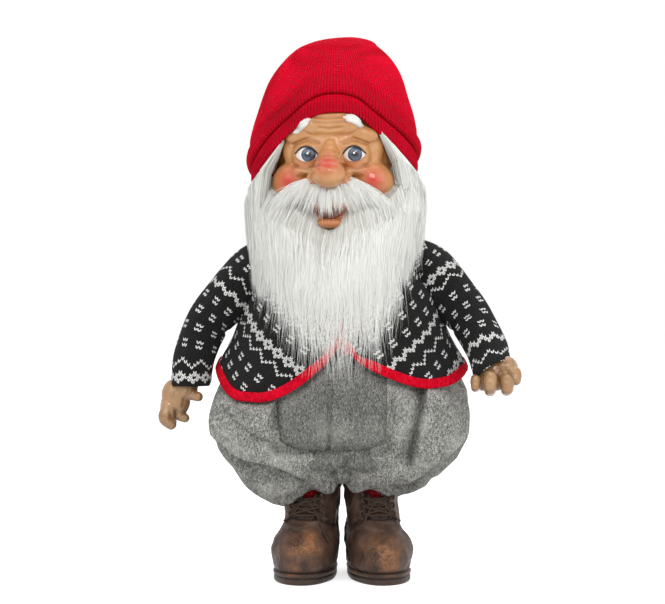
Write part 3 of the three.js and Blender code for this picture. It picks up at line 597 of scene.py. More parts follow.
def makeCapKnit():
    material, tree, shader = newFinish("capKnit", 0.9, sheen=0.03, specular=0.1)
    shader.inputs["Sheen Tint"].default_value = paint(255, 120, 120)
    rib = readMark(tree, "rib")
    parts = wire(tree, "ShaderNodeSeparateXYZ", {0: clothPlace(tree)})
    rows = calc(tree, "SINE", times(tree, parts.outputs[1], 2 * math.pi / (2.0 * mm)))
    fibres = onPiece(tree, fibreGroup, 1300.0)
    body = mixTint(tree, fibres.outputs["Cloud"], paint(226, 0, 38), paint(250, 2, 50))
    fuzz = remap(tree, fibres.outputs["Fleck"], 0.62, 1.0, 0.0, 0.5)
    fuzzy = mixTint(tree, fuzz, body, paint(250, 44, 78))
    # painted shade: darker down in the grooves between the ribs and between the rows
    grooveShade = remap(tree, plus(tree, rib, times(tree, rows, 0.22)), 0.0, 0.6, 0.7, 0.0)
    feed(tree, shader, "Base Color", mixTint(tree, grooveShade, fuzzy, paint(138, 0, 18)))
    height = plus(tree, times(tree, rows, 0.45), fibres.outputs["Height"])
    bumpTo(tree, shader, height, 0.0009)
    return material


def makeFelt(name, deep, middle, pale, scale, sheen=0.1):
    material, tree, shader = newFinish(name, 0.95, sheen=sheen, specular=0.1)
    fibres = onPiece(tree, fibreGroup, scale)
    coarse = onPiece(tree, fibreGroup, scale * 0.45)
    blend = plus(tree, times(tree, fibres.outputs["Fleck"], 0.6),
                 times(tree, coarse.outputs["Fleck"], 0.4))
    tint = ramp(tree, blend, [(0.24, deep), (0.5, middle), (0.76, pale)])
    clouded = mixTint(tree, remap(tree, coarse.outputs["Cloud"], 0.3, 0.7, 0.0, 0.28), tint, full(deep))
    worn = noiseAt(tree, objectPlace(tree), 34.0, 4.0)
    clouded = mixTint(tree, remap(tree, worn, 0.5, 0.72, 0.0, 0.4), clouded, full(pale))
    clouded = mixTint(tree, remap(tree, worn, 0.46, 0.28, 0.0, 0.35), clouded, full(deep))
    # painted shade: the felt goes darker where the fold mark is set, in and under folds and over the panels
    fold = readMark(tree, "fold")
    foldShaded = mixTint(tree, times(tree, fold, 0.6), clouded, full([0.35 * part for part in deep]))
    feed(tree, shader, "Base Color", foldShaded)
    bumpTo(tree, shader, plus(tree, fibres.outputs["Height"], coarse.outputs["Height"]), 0.0007)
    return material


def makePlain(name, deep, pale, scale, rough, metallic=0.0, specular=0.5, stretch=(1, 1, 1), bump=0.0003):
    # two uneven tones, for cords, paint and the pieces inside
    material, tree, shader = newFinish(name, rough, specular=specular)
    shader.inputs["Metallic"].default_value = metallic
    place = wire(tree, "ShaderNodeMapping", {"Vector": objectPlace(tree), "Scale": stretch}).outputs[0]
    mottle = useGroup(tree, mottleGroup, {"Place": place, "Scale": scale})
    feed(tree, shader, "Base Color", mixTint(tree, mottle.outputs["Cloud"], paint(*deep), paint(*pale)))
    if bump:
        bumpTo(tree, shader, mottle.outputs["Grain"], bump)
    return material


feltGrey = makeFelt("breechesFelt", tone(74, 74, 72), tone(144, 144, 139), tone(208, 208, 200), 1500.0)
feltRed = makeFelt("trimFelt", tone(166, 0, 22), tone(212, 2, 36), tone(230, 18, 50), 1100.0, 0.0)
capKnit = makeCapKnit()
print("shared finishes ready")


# camera, floor and light

view = {"distance": 1.5, "height": 0.240, "pixel": 0.833, "width": 665, "middle": 339.1, "horizon": 287.0,
        "frameMiddle": 332.5, "frameHeight": 302.0}
light = {
    "aim": (0, 0, 0.22), "world": 0.72, "floorGlow": 0.62,
    "lamps": [
        {"name": "keyLight", "at": (-0.9, -1.5, 1.5), "size": 1.3, "watts": 8},
        {"name": "fillLight", "at": (1.2, -1.4, 1.1), "size": 1.4, "watts": 8},
        {"name": "topLight", "at": (0.1, 0.4, 1.9), "size": 1.4, "watts": 7.5},
        {"name": "sparkLight", "at": (0.12, -1.5, 1.15), "size": 0.45, "watts": 5},
    ],
}


def addCamera():
    camera = bpy.data.cameras.new("camera")
    camera.sensor_fit = "HORIZONTAL"
    camera.angle = 2 * math.atan(view["width"] * view["pixel"] * mm / 2 / view["distance"])
    camera.shift_x = (view["frameMiddle"] - view["middle"]) / view["width"]
    camera.shift_y = (view["horizon"] - view["frameHeight"]) / view["width"]
    camera.clip_start = 0.05
    holder = bpy.data.objects.new("camera", camera)
    holder.location = (0, -view["distance"], view["height"])
    holder.rotation_euler = (math.pi / 2, 0, 0)
    scene.collection.objects.link(holder)
    scene.camera = holder


def seenDirectly(tree):
    # 1 for what the camera sees, straight or by way of gloss or glass
    path = wire(tree, "ShaderNodeLightPath")
    direct = calc(tree, "MAXIMUM", path.outputs["Is Camera Ray"], path.outputs["Is Transmission Ray"])
    return calc(tree, "MAXIMUM", direct, path.outputs["Is Glossy Ray"])


def addFloor():
    pickNothing()
    bpy.ops.mesh.primitive_plane_add(size=12, location=(0, 0, 0))
    floor = nameIt(bpy.context.object, "floor")
    material, tree, shader = newFinish("paleFloor", 0.9, specular=0.1)
    grain = noiseAt(tree, objectPlace(tree), 6.0)
    tint = mixTint(tree, grain, full((0.80, 0.80, 0.80)), full((0.84, 0.84, 0.84)))
    feed(tree, shader, "Base Color", tint)
    shader.inputs["Emission Color"].default_value = (1, 1, 1, 1)
    feed(tree, shader, "Emission Strength", times(tree, seenDirectly(tree), light["floorGlow"]))
    floor.data.materials.append(material)


def addLight():
    for lamp in light["lamps"]:
        data = bpy.data.lights.new(lamp["name"], "AREA")
        data.size = lamp["size"]
        data.energy = lamp["watts"]
        holder = bpy.data.objects.new(lamp["name"], data)
        holder.location = lamp["at"]
        aim = Vector(light["aim"]) - holder.location
        holder.rotation_euler = aim.to_track_quat("-Z", "Y").to_euler()
        scene.collection.objects.link(holder)
    world = bpy.data.worlds.new("studio")
    world.use_nodes = True
    tree = world.node_tree
    background = tree.nodes["Background"]
    background.inputs["Color"].default_value = (1, 1, 1, 1)
    feed(tree, background, "Strength", remap(tree, seenDirectly(tree), 0.0, 1.0, light["world"], 1.0))
    scene.world = world


scene.view_settings.view_transform = "Standard"
addCamera()
addFloor()
addLight()
print("camera, floor and light set")


def clearFilling(obj, node, gap=1.2):
    # the cloth stays outside its stuffing
    wrap = obj.modifiers.new("wrap", "SHRINKWRAP")
    wrap.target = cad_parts[node]
    wrap.wrap_mode = "OUTSIDE"
    wrap.offset = gap * mm
    applyAll(obj)
    soften(obj, 1)


# knitted cardigan

cardigan = {
    # height, half width, half depth, up from the hem to the collar
    "rows": [(128, 113.5, 76), (136, 112.5, 75.5), (154, 110.6, 74.6), (175, 102.5, 71.2), (196, 92, 67),
             (215, 84, 63.5), (234, 77, 59.2), (251, 68, 53.6), (269, 53.5, 44.6), (282, 37.5, 34.5),
             (288, 29, 29)],
    # hem as seen from the front and from behind: x, height
    "frontHem": [(-124, 185), (-107, 177), (-98, 160), (-70, 148), (-36, 160), (-13.5, 179), (-1.5, 192),
                 (13.5, 180), (40.5, 166), (74, 159), (98, 167), (107, 177), (124, 185)],
    "backHem": [(-124, 185), (-107, 177), (-98, 172.5), (-56, 169), (0, 169), (56, 169), (98, 172.5),
                (107, 177), (124, 185)],
    "collar": 288, "wall": 0.0018, "firstRow": 34,
    # a little squarer than an ellipse
    "square": 0.93,
    # the fronts' slant in degrees, and where their pattern is turned and put, in metres of cloth
    "rowTilt": 36, "turnAt": 0.2, "putAt": {"left": 0.239, "right": 0.2},
    # the knitting rolls out above its hem: by, how high, over what height
    "hemRoll": (1.6, 13, 9),
    # the back's cloth starts at this y
    "backFrom": 4, "grid": (260, 90),
}


def bodyAt(theta, z):
    # the cardigan's outside, theta 0 in front and growing to the doll's left
    wide, deep = along(cardigan["rows"], z).T
    square = cardigan["square"]
    return np.column_stack((wide * bent(np.sin(theta), square), -deep * bent(np.cos(theta), square), z))


def hemAt(theta):
    theta = np.asarray(theta, float)
    z = np.full(theta.shape, 170.0)
    for _ in range(12):
        x = bodyAt(theta, z)[:, 0]
        front = along(cardigan["frontHem"], x)[:, 0]
        back = along(cardigan["backHem"], x)[:, 0]
        z = 0.5 * z + 0.5 * np.where(np.cos(theta) >= 0, front, back)
    return z


def hemRoll(theta, up):
    # in front and at the sides only
    out, middle, height = cardigan["hemRoll"]
    return out * bell(up - middle, height) * (np.cos(theta) > -0.2)


def addCardigan():
    tilt = math.radians(cardigan["rowTilt"])

    def place(u, v):
        theta = (2 * u - 1) * math.pi
        hem = hemAt(theta)
        z = hem + (cardigan["collar"] - hem) * v
        points = bodyAt(theta, z)
        loose = smoothStep(215, 170, z)
        sway = np.sin(5 * theta + 0.8) * 0.9 + np.sin(9 * theta + z * 0.05) * 0.6
        out = loose * sway + ripple(points, 46, 11) * 0.8
        out += hemRoll(theta, z - hem)
        points[:, 0] += out * np.sin(theta)
        points[:, 1] -= out * np.cos(theta)
        girth = along(cardigan["rows"], z).mean(axis=1)
        return points, np.column_stack((theta * girth, z))

    obj = shapeGrid("cardigan_knit", *cardigan["grid"], place)
    # each front is cut on the slant, the back straight
    layer = obj.data.uv_layers[0].data
    points = dollPoints(obj)
    for face in obj.data.polygons:
        centre = points[list(face.vertices)].mean(axis=0)
        if centre[1] > cardigan["backFrom"]:
            for loop in face.loop_indices:
                s, t = layer[loop].uv
                girth = along(cardigan["rows"], np.array([t / mm]))[0].mean() * mm
                layer[loop].uv = (s - math.copysign(math.pi * girth, centre[0]), t)
            continue
        half = "left" if centre[0] > 0 else "right"
        turn = sideSigns[half] * tilt
        for loop in face.loop_indices:
            s, t = layer[loop].uv
            t -= cardigan["turnAt"]
            layer[loop].uv = (s * math.cos(turn) + t * math.sin(turn),
                              t * math.cos(turn) - s * math.sin(turn) + cardigan["putAt"][half])
    addWall(obj, cardigan["wall"])
    obj.data.materials.append(makeNordicKnit("cardiganKnit", cardigan["firstRow"], True))
    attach(obj, "torso")
    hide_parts("cardigan_body")


# the two front edges' bands start at "low" and go up by "rise"
trim = {"width": 8.0, "thick": 2.6, "frontWidth": 4.96, "frontThick": 2.2, "low": 186, "rise": 46}


def bandSection(width, thick):
    turn = np.linspace(0, 2 * math.pi, 14, endpoint=False)
    return np.column_stack((thick / 2 * bent(np.cos(turn), 0.7), width / 2 * bent(np.sin(turn), 0.55)))


def addTrim():
    theta = np.linspace(-math.pi, math.pi, 420)
    hem = hemAt(theta)
    edge = bodyAt(theta, hem)
    run = unit(np.gradient(edge, axis=0))
    above = bodyAt(theta, hem + 2) - edge
    out = unit(np.cross(run, above))
    up = np.cross(out, run)
    lift = hemRoll(theta, trim["width"] / 2) + ripple(edge, 40, 11) * 0.5
    centres = edge + up * (trim["width"] / 2 - 0.8) + out * (0.5 + lift)[:, None]
    hemBand = sweep("hemBand", centres, out, up, bandSection(trim["width"], trim["thick"]))
    # the two front edges run on up under the beard
    pieces = [hemBand]
    for sign in (1, -1):
        z = np.linspace(trim["low"], trim["low"] + trim["rise"], 30)
        angle = sign * (0.022 + 0.034 * smoothStep(trim["low"] + 12, trim["low"], z)) - 0.02
        line = bodyAt(angle, z)
        line[:, 1] -= 1.3
        ahead = unit(np.gradient(line, axis=0))
        face = np.tile((0.0, -1.0, 0.0), (len(z), 1))
        pieces.append(sweep("frontBand", line, face, np.cross(face, ahead),
                            bandSection(trim["frontWidth"], trim["frontThick"])))
    obj = joinAll("cardigan_binding", pieces)
    obj.data.materials.append(feltRed)
    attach(obj, "torso")
    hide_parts("cardigan_trim")


addCardigan()
addTrim()
print("cardigan made")


# sleeves

sleeves = {
    "shoulder": (74, 0, 252), "upper": 63, "fore": 48,
    # shares of the way where the elbow is and where the cuff turns in
    "elbowAt": 0.6, "cuffAt": 0.955,
    "left": {"upperLift": 41, "upperReach": 21, "foreLift": 15, "foreReach": 46, "firstRow": 7,
             "longFront": 12, "longOut": -4},
    "right": {"upperLift": 44.5, "upperReach": 5, "foreLift": 10, "foreReach": 9, "firstRow": 0,
              "longFront": 5, "longOut": 2.5},
    # share of the way from the neck side of the shoulder to the cuff, radius
    "rows": [(0, 20), (0.1, 22.5), (0.2, 23.2), (0.35, 21.6), (0.5, 19.2), (0.63, 17.9), (0.75, 17.5),
             (0.88, 17), (1, 15.6)],
}


def heading(sign, lift, reach):
    lift, reach = math.radians(lift), math.radians(reach)
    return np.array((sign * math.sin(lift) * math.cos(reach), -math.sin(reach),
                     -math.cos(lift) * math.cos(reach)))


def armPath(side):
    sign, bend = sideSigns[side], sleeves[side]
    x, y, z = sleeves["shoulder"]
    shoulder = np.array((sign * x, y, z), float)
    upper = heading(sign, bend["upperLift"], bend["upperReach"])
    fore = heading(sign, bend["foreLift"], bend["foreReach"])
    elbow = shoulder + upper * sleeves["upper"]
    wrist = elbow + fore * sleeves["fore"]
    return shoulder, elbow, wrist, upper, fore


def curveThrough(stops, count):
    # evenly spaced points on a smooth curve, and its length
    stops = np.array(stops, float)
    gaps = walkedAlong(stops)
    fine = along(np.column_stack((gaps, stops)), np.linspace(0, gaps[-1], 400))
    walked = walkedAlong(fine)
    even = np.linspace(0, walked[-1], count)
    return np.column_stack([np.interp(even, walked, fine[:, k]) for k in range(3)]), walked[-1]


def addSleeve(side):
    sign = sideSigns[side]
    shoulder, elbow, wrist, upper, fore = armPath(side)
    inner = shoulder + np.array((-sign * 27, 0, 12))
    stops = [inner, shoulder + np.array((-sign * 4, 0, 2.0)), shoulder + upper * 34,
             elbow + 0.1 * (shoulder + wrist - 2 * elbow), elbow + fore * 24, wrist]
    rows, columns = 110, 96
    spine, length = curveThrough(stops, rows + 1)
    run = unit(np.gradient(spine, axis=0))
    front = np.tile((0.0, -1.0, 0.0), (rows + 1, 1))
    outside = unit(np.cross(front, run) * sign)
    front = np.cross(run, outside) * sign

    def place(u, v):
        # the last rows turn in over the edge of the cuff
        share = np.clip(v / sleeves["cuffAt"], 0, 1)
        tucked = smoothStep(sleeves["cuffAt"], 1.0, v)
        i = np.round(share * rows).astype(int)
        # u runs round from the seam under the arm
        turn = (1 - 2 * u) * math.pi
        radius = along(sleeves["rows"], share)[:, 0]
        s, c = np.sin(turn), np.cos(turn)
        # creases inside the elbow and soft pulls at the armpit
        fromElbow = share - sleeves["elbowAt"]
        radius += smoothStep(0.1, 1.0, -c) * (0.9 * bell(fromElbow, 0.10) - 2.6 * bell(fromElbow, 0.022))
        radius += 1.0 * np.sin(turn * 2 + share * 16) * bell(share - 0.3, 0.2)
        radius += 0.5 * np.sin(turn * 3 - share * 22 + 1.1) + 0.8 * bell(share - 0.97, 0.02)
        spot = spine[i] + run[i] * ((share * rows - i) * length / rows)[:, None]
        radius = radius - tucked * 2.6
        # one side of the cuff hangs lower than the other
        longer = sleeves[side]["longFront"] * (0.5 + 0.5 * s) + sleeves[side]["longOut"] * c
        spot = spot + run[i] * (longer * smoothStep(0.7, 1.0, share) - tucked * 7)[:, None]
        points = spot + radius[:, None] * (outside[i] * c[:, None] + front[i] * s[:, None])
        return points, np.column_stack((turn * radius, (1 - share) * length))

    obj = shapeGrid(side + "_sleeve_knit", columns, rows + 5, place)
    faceOutward(obj)
    clearFilling(obj, side + "_arm_filling", 0.7)
    knit = makeNordicKnit(side + "SleeveKnit", sleeves[side]["firstRow"], side == "left")
    obj.data.materials.append(knit)
    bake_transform(obj)
    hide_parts(side + "_sleeve")


for side in sideSigns:
    addSleeve(side)
print("sleeves made")


# knitted cap

cap = {
    "ribs": 150, "ribDepth": 0.9, "top": 451.0, "middle": (-6, 7.5), "cloth": (70, 150),
    "columnsPerRib": 4, "gridRows": 112,
    # shares of the way up that the turned-up fold and the crown take
    "foldPart": 0.54, "crownPart": 0.46,
    # height, middle x, half width, middle y, half depth
    "rows": [(290, -6, 69, 8, 67), (323, -6.3, 71.6, 8, 70), (348, -6.3, 71.8, 8, 70),
             (361, -6.2, 70.6, 7.5, 69), (375, -5.8, 67.6, 7, 67), (388, -5.2, 64.2, 7, 64.5),
             (401.5, -5, 59.6, 7, 60.5), (415, -4.8, 54, 7.5, 55.5), (428, -3.8, 45.6, 8, 48.5),
             (435, -2.8, 39.6, 8.5, 42.5), (442, -0.6, 31, 9, 35.5), (447, 3.4, 21, 10, 25),
             (451, 8, 0, 10, 0)],
    # angle round from the front, height of the lower edge
    "brim": [(-180, 301), (-135, 306), (-90, 323), (-54, 346), (-36, 363), (-27, 371.5), (-15, 378.5),
             (0, 381), (9, 380.5), (20, 376), (29, 368), (43, 357), (58, 347.5), (90, 335), (135, 313),
             (180, 301)],
    # share of the way up, step out from the crown's outline, height over the lower edge
    "fold": [(0, -7, 9), (0.03, -6.4, 2), (0.05, -5, 0), (0.07, -3.2, 0.7), (0.11, -2.2, 4),
             (0.17, -2.1, 9), (0.22, -2.8, 14), (0.25, -5.4, 18.6), (0.28, -2.7, 17.4), (0.31, 0.1, 18),
             (0.35, 1.7, 21.5), (0.40, 1.6, 25.5), (0.45, 0.2, 29), (0.49, -0.7, 32), (0.54, 0, 38)],
}


def addCap():
    def place(u, v):
        angle = (2 * u - 1) * 180
        theta = np.radians(angle)
        low = along(cap["brim"], angle)[:, 0]
        off, rise = along(cap["fold"], np.minimum(v, cap["foldPart"])).T
        t = np.clip((v - cap["foldPart"]) / cap["crownPart"], 0, 1)
        z = low + rise
        z = z + (cap["top"] - z) * np.sin(t * math.pi / 2)
        axisX, wide, axisY, deep = along(cap["rows"], z).T
        fade = smoothStep(4, 40, wide)
        rib = 0.5 + 0.5 * np.cos(theta * cap["ribs"])
        base = np.column_stack((axisX + wide * np.sin(theta), axisY - deep * np.cos(theta), z))
        out = off * smoothStep(0.98, 0.4, v) + cap["ribDepth"] * (rib - 0.5) * fade
        out += fade * ripple(base, 60, 5) * (0.25 + 1.1 * smoothStep(0.45, 0.7, v))
        z = z + fade * 0.8 * ripple(base, 45, 6) * smoothStep(0.05, 0.2, v) * smoothStep(0.95, 0.7, v)
        grow = fade * out
        points = np.column_stack((axisX + (wide + grow) * np.sin(theta),
                                  axisY - (deep + grow) * np.cos(theta), z))
        return points, np.column_stack((theta, v)) * cap["cloth"]

    obj = shapeGrid("cap_knit", cap["ribs"] * cap["columnsPerRib"], cap["gridRows"], place)
    points = dollPoints(obj)
    x, y = (points[:, :2] - cap["middle"]).T
    theta = np.arctan2(x, -y)
    setAttribute(obj, "rib", 0.5 + 0.5 * np.cos(theta * cap["ribs"]))
    obj.data.materials.append(capKnit)
    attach(obj, "head")
    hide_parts("cap_crown", "cap_band")


addCap()
print("cap made")


# felt breeches

breeches = {
    # height, outer x, inner x, reach forward, reach back
    "leg": [(57, 50, 44, 8, 8), (59, 57, 36, 18, 18), (63, 64, 25, 28, 28), (68, 70, 13, 37, 36),
            (74, 77.5, 5, 44, 42), (81, 85, 1.0, 50, 48), (87.5, 91.5, 0.3, 55, 53),
            (94, 97.5, 0.3, 60, 57), (101, 102, 0.3, 65, 61), (108, 106, 0.3, 69.5, 65),
            (115, 108.5, 0.3, 72.5, 68), (122, 110, 0.3, 74.5, 70), (134, 110.5, 0.3, 75.5, 71),
            (146, 108.5, 0.3, 73, 70), (157, 103, 4, 66, 64), (166, 94, 14, 56, 56), (172, 80, 30, 40, 40),
            (175, 57, 53, 4, 4)],
    # creases as seen from the front: x, height; dark and under give the painted shade in each fold and on
    # the felt below it
    "folds": {
        "right": [{"line": [(-108, 122), (-82, 104), (-52, 97), (-27, 82)], "out": 4.2, "dip": 6.5,
                   "width": 4.6, "dark": 1.0},
                  {"line": [(-100, 146), (-70, 122), (-46, 112)], "out": 1.0, "dip": 1.4, "width": 4.4,
                   "dark": 0.35}],
        "left": [{"line": [(106, 121), (90, 109), (72, 96), (54, 84), (40, 80)], "out": 4.4, "dip": 7.0,
                  "width": 5.6, "dark": 1.0, "under": 0.75},
                 {"line": [(67, 168), (66, 148), (62, 128), (58, 106), (56, 94)], "out": 3.2, "dip": 6.8,
                  "width": 4.2, "dark": 1.0, "upright": True}],
    },
    # crease behind the left leg, the same on the right: x, height
    "backFold": [(62, 160), (66, 120), (56, 92)],
    # height, half width, half depth of the hips under the panels
    "hips": [(100, 108, 66), (120, 109, 71), (136, 109, 72), (160, 106, 71), (180, 98, 68), (215, 80, 60)],
    # middle, radii and turn of the rolls that are melted into the gusset, and the line between its halves
    "rolls": [((-13, -52, 101), (22, 14, 10), (0, -8, 0)), ((15, -51, 100), (21, 14, 10), (0, 10, 0)),
              ((0, -54.5, 107), (26, 12.5, 9.5), (0, 0, 0)), ((0, -30, 98), (14, 30, 9), (0, 0, 0)),
              ((0, 30, 100), (16, 34, 10), (0, 0, 0)), ((0, 54, 107), (26, 12, 9.5), (0, 0, 0)),
              ((0, -30, 87.5), (7.5, 32, 9), (0, 0, 0))],
    "split": [(8, 104), (3, 98), (0, 91), (0, 82)],
    "slimmer": {"left": 7, "right": 0}, "drawnUp": {"left": 9, "right": 0},
    "panelHalf": 47.5, "panelLow": 104.5, "panelHigh": 214, "panelMiddle": -8, "panelWall": 0.002,
    # bellyShade: painted shade over the whole belly and seat panels and the gusset
    "seam": -11, "bellyShade": 0.7, "underKnit": 5, "legGrid": (230, 150), "panelGrid": (90, 100),
}


def hipDepth(x, z):
    wide, deep = along(breeches["hips"], z).T
    return deep * np.sqrt(np.clip(1 - (x / wide) ** 2, 0.02, 1))


def underCardigan(points):
    # what the knitting covers stays inside it
    x, y, z = points.T
    wide, deep = along(cardigan["rows"], z).T - breeches["underKnit"]
    power = 2 / cardigan["square"]
    level = (np.abs(x / wide) ** power + np.abs(y / deep) ** power) ** (1 / power)
    covered = smoothStep(-9, 1, z - hemAt(np.arctan2(x / wide, -y / deep)))
    fit = 1 + (np.minimum(1 / np.maximum(level, 1e-6), 1) - 1) * covered
    return np.column_stack((x * fit, y * fit, z))


def foldOver(obj, fold):
    # one side of a line swells over the other; returns the painted shade in the fold and on the felt below
    # it
    line, width, upright = fold["line"], fold["width"], fold.get("upright", False)
    points, normals = dollPoints(obj), getNormals(obj)
    stops = np.array(sorted([(z, x) if upright else (x, z) for x, z in line]))
    at, other = (points[:, 2], points[:, 0]) if upright else (points[:, 0], points[:, 2])
    side = other - along(stops, at)[:, 0]
    first, last = stops[0, 0], stops[-1, 0]
    inReach = smoothStep(first - 4, first + 8, at) * smoothStep(last + 4, last - 8, at)
    inReach = inReach * smoothStep(-0.25, 0.15, -normals[:, 1])
    over = smoothStep(-0.9, 0.9, side)
    shift = over * fold["out"] * bell(side, 2.6 * width)
    shift = shift - (1 - over) * fold["dip"] * bell(side, 1.7 * width)
    pushOut(obj, normals, shift * inReach)
    dark = bell(side + 0.3 * width, 0.55 * width)
    dark = dark + fold.get("under", 0.4) * (side < 0) * bell(side, 2.8 * width)
    return np.clip(dark * inReach, 0, 1) * fold["dark"]


def markFolds(obj, lines, width, facing):
    # painted shade where the felt folds in
    points = dollPoints(obj)
    return bell(nearestLine(points[:, [0, 2]], lines), width) * (points[:, 1] * facing > 0)


def addLeg(side):
    sign = sideSigns[side]
    heights = np.array(breeches["leg"])[:, 0]

    def place(u, v):
        theta = (2 * u - 1) * math.pi * sign
        # rows are packed where the bag turns over at its foot and its top
        z = np.interp(v, np.linspace(0, 1, len(heights)), heights)
        outer, inner, fore, back = along(breeches["leg"], z).T
        outer = outer - breeches["slimmer"][side] * smoothStep(58, 80, z) * smoothStep(175, 160, z)
        middle, half = (outer + inner) / 2, (outer - inner) / 2
        s, c = np.sin(theta), np.cos(theta)
        # round outside, flat where the two legs meet
        squash = np.where(s * sign > 0, 0.86, 0.86 - 0.4 * smoothStep(0, 0.5, np.abs(s)))
        deep = np.where(c > 0, fore, back)
        x = sign * middle + half * bent(s, squash)
        points = np.column_stack((x, -deep * bent(c, squash), z))
        # gathers at the hem grow into soft folds up the leg
        low = smoothStep(94, 62, z)
        gather = np.sin(19 * theta + 2.2 * np.sin(3 * theta + sign)) * (2.4 * low)
        gather = gather + np.sin(7 * theta + 0.9 * sign + z * 0.02) * 1.2
        puff = ripple(points, 52, 21 + sign) * 2.0 + ripple(points, 24, 25 + sign) * 0.8
        grow = (gather + puff) * smoothStep(56, 66, z) * smoothStep(175, 165, z)
        grow = grow * smoothStep(3, 12, np.abs(x))
        points[:, 0] += grow * np.sin(theta)
        points[:, 1] -= grow * np.cos(theta)
        points[:, 0] = sign * np.maximum(sign * points[:, 0], 0.3)
        # room for the belly and seat panels between the legs
        aside = np.where(points[:, 1] < 0, breeches["panelMiddle"], 0)
        room = smoothStep(51, 45, np.abs(points[:, 0] - aside)) * smoothStep(100, 109, z)
        flat = np.sign(points[:, 1]) * (hipDepth(points[:, 0], z) - 7)
        points[:, 1] += room * (np.clip(points[:, 1], -np.abs(flat), np.abs(flat)) - points[:, 1])
        # the hem is drawn up over the front of the boot
        lift = bell(np.abs(points[:, 0]) - 25, 11) * smoothStep(-6, -22, points[:, 1])
        points[:, 2] += 10 * (lift * smoothStep(86, 62, z))
        # one leg hangs less low than the other
        outside = smoothStep(28, 52, np.abs(points[:, 0]))
        points[:, 2] += breeches["drawnUp"][side] * outside * smoothStep(96, 62, z)
        return underCardigan(points), np.column_stack((theta * 60, z))

    obj = shapeGrid(side + "_breeches_puff", *breeches["legGrid"], place)
    faceOutward(obj)
    press(obj, [[(sign * x, z) for x, z in breeches["backFold"]]], 4.5, 6, facing=1, shoulder=1.5)
    soften(obj, 1)
    # painted shade in and under each fold
    dark = [foldOver(obj, fold) for fold in breeches["folds"][side]]
    clearFilling(obj, "breeches_filling")
    setAttribute(obj, "fold", np.max(dark, axis=0))
    obj.data.materials.append(feltGrey)
    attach(obj, "torso")
    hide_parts(side + "_breeches_leg")


def addPanel(name, node, facing):
    half, low, high = breeches["panelHalf"], breeches["panelLow"], breeches["panelHigh"]
    middle = breeches["panelMiddle"] if facing < 0 else 0

    def place(u, v):
        across, up = 2 * u - 1, v
        # the border goes in behind the legs
        tuck = smoothStep(0.86, 1.0, np.abs(across))
        under = smoothStep(0.12, 0.0, up)
        x = middle + across * half * (0.93 + 0.08 * np.sin(math.pi * np.clip(up, 0, 1) ** 0.7))
        edge = low + 7 * np.abs(across) ** 3
        z = edge + (high - edge) * np.clip((up - 0.04) / 0.96, 0, 1) + 3 * under
        puff = 3.5 * (1 - np.abs(across) ** 2.5) * smoothStep(0.0, 0.2, up) * smoothStep(1.0, 0.75, up)
        y = hipDepth(x, z) + puff + 2.0 - 12 * tuck - 16 * under
        points = np.column_stack((x, facing * y, z))
        points[:, 1] += facing * ripple(points, 44, 31 + facing)
        if facing > 0:
            points[:, 0] *= -1
        return underCardigan(points), np.column_stack((x, z))

    obj = shapeGrid(name, *breeches["panelGrid"], place, weld=False)
    seam = breeches["seam"] if facing < 0 else 0
    press(obj, [[(seam, 105), (seam + 1, 150), (seam, 215)]], 2.6, 1.7, facing=facing, shoulder=0.9)
    addWall(obj, breeches["panelWall"])
    edge = half - 2
    border = [(-edge, 215), (-edge, 114), (8 - edge, low + 3), (edge - 8, low + 3), (edge, 114),
              (edge, 215)]
    # painted shade along the border, and over the whole panel
    dark = markFolds(obj, [[(middle + x, z) for x, z in border]], 3.2, facing)
    setAttribute(obj, "fold", np.maximum(dark, breeches["bellyShade"]))
    obj.data.materials.append(feltGrey)
    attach(obj, "torso")
    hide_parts(node)


def addGusset():
    # the roll of felt under the belly, where the two legs are sewn together
    rolls = [ballAt(at, size, turn, 40) for at, size, turn in breeches["rolls"]]
    obj = melt(joinAll("breeches_gusset", rolls), 1.6, 6)
    press(obj, [breeches["split"]], 2.2, 2.2, shoulder=0.8)
    clearFilling(obj, "breeches_filling")
    # painted shade along the split and under the belly panel, and over the whole roll
    dark = 0.7 * markFolds(obj, [breeches["split"], [(-46, 106), (40, 106)]], 3, -1)
    setAttribute(obj, "fold", np.maximum(dark, breeches["bellyShade"]))
    obj.data.materials.append(feltGrey)
    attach(obj, "torso")


for side in sideSigns:
    addLeg(side)
addGusset()
addPanel("breeches_belly", "breeches_front_panel", -1)
addPanel("breeches_seat", "breeches_back_panel", 1)
print("breeches made")


# boots and socks

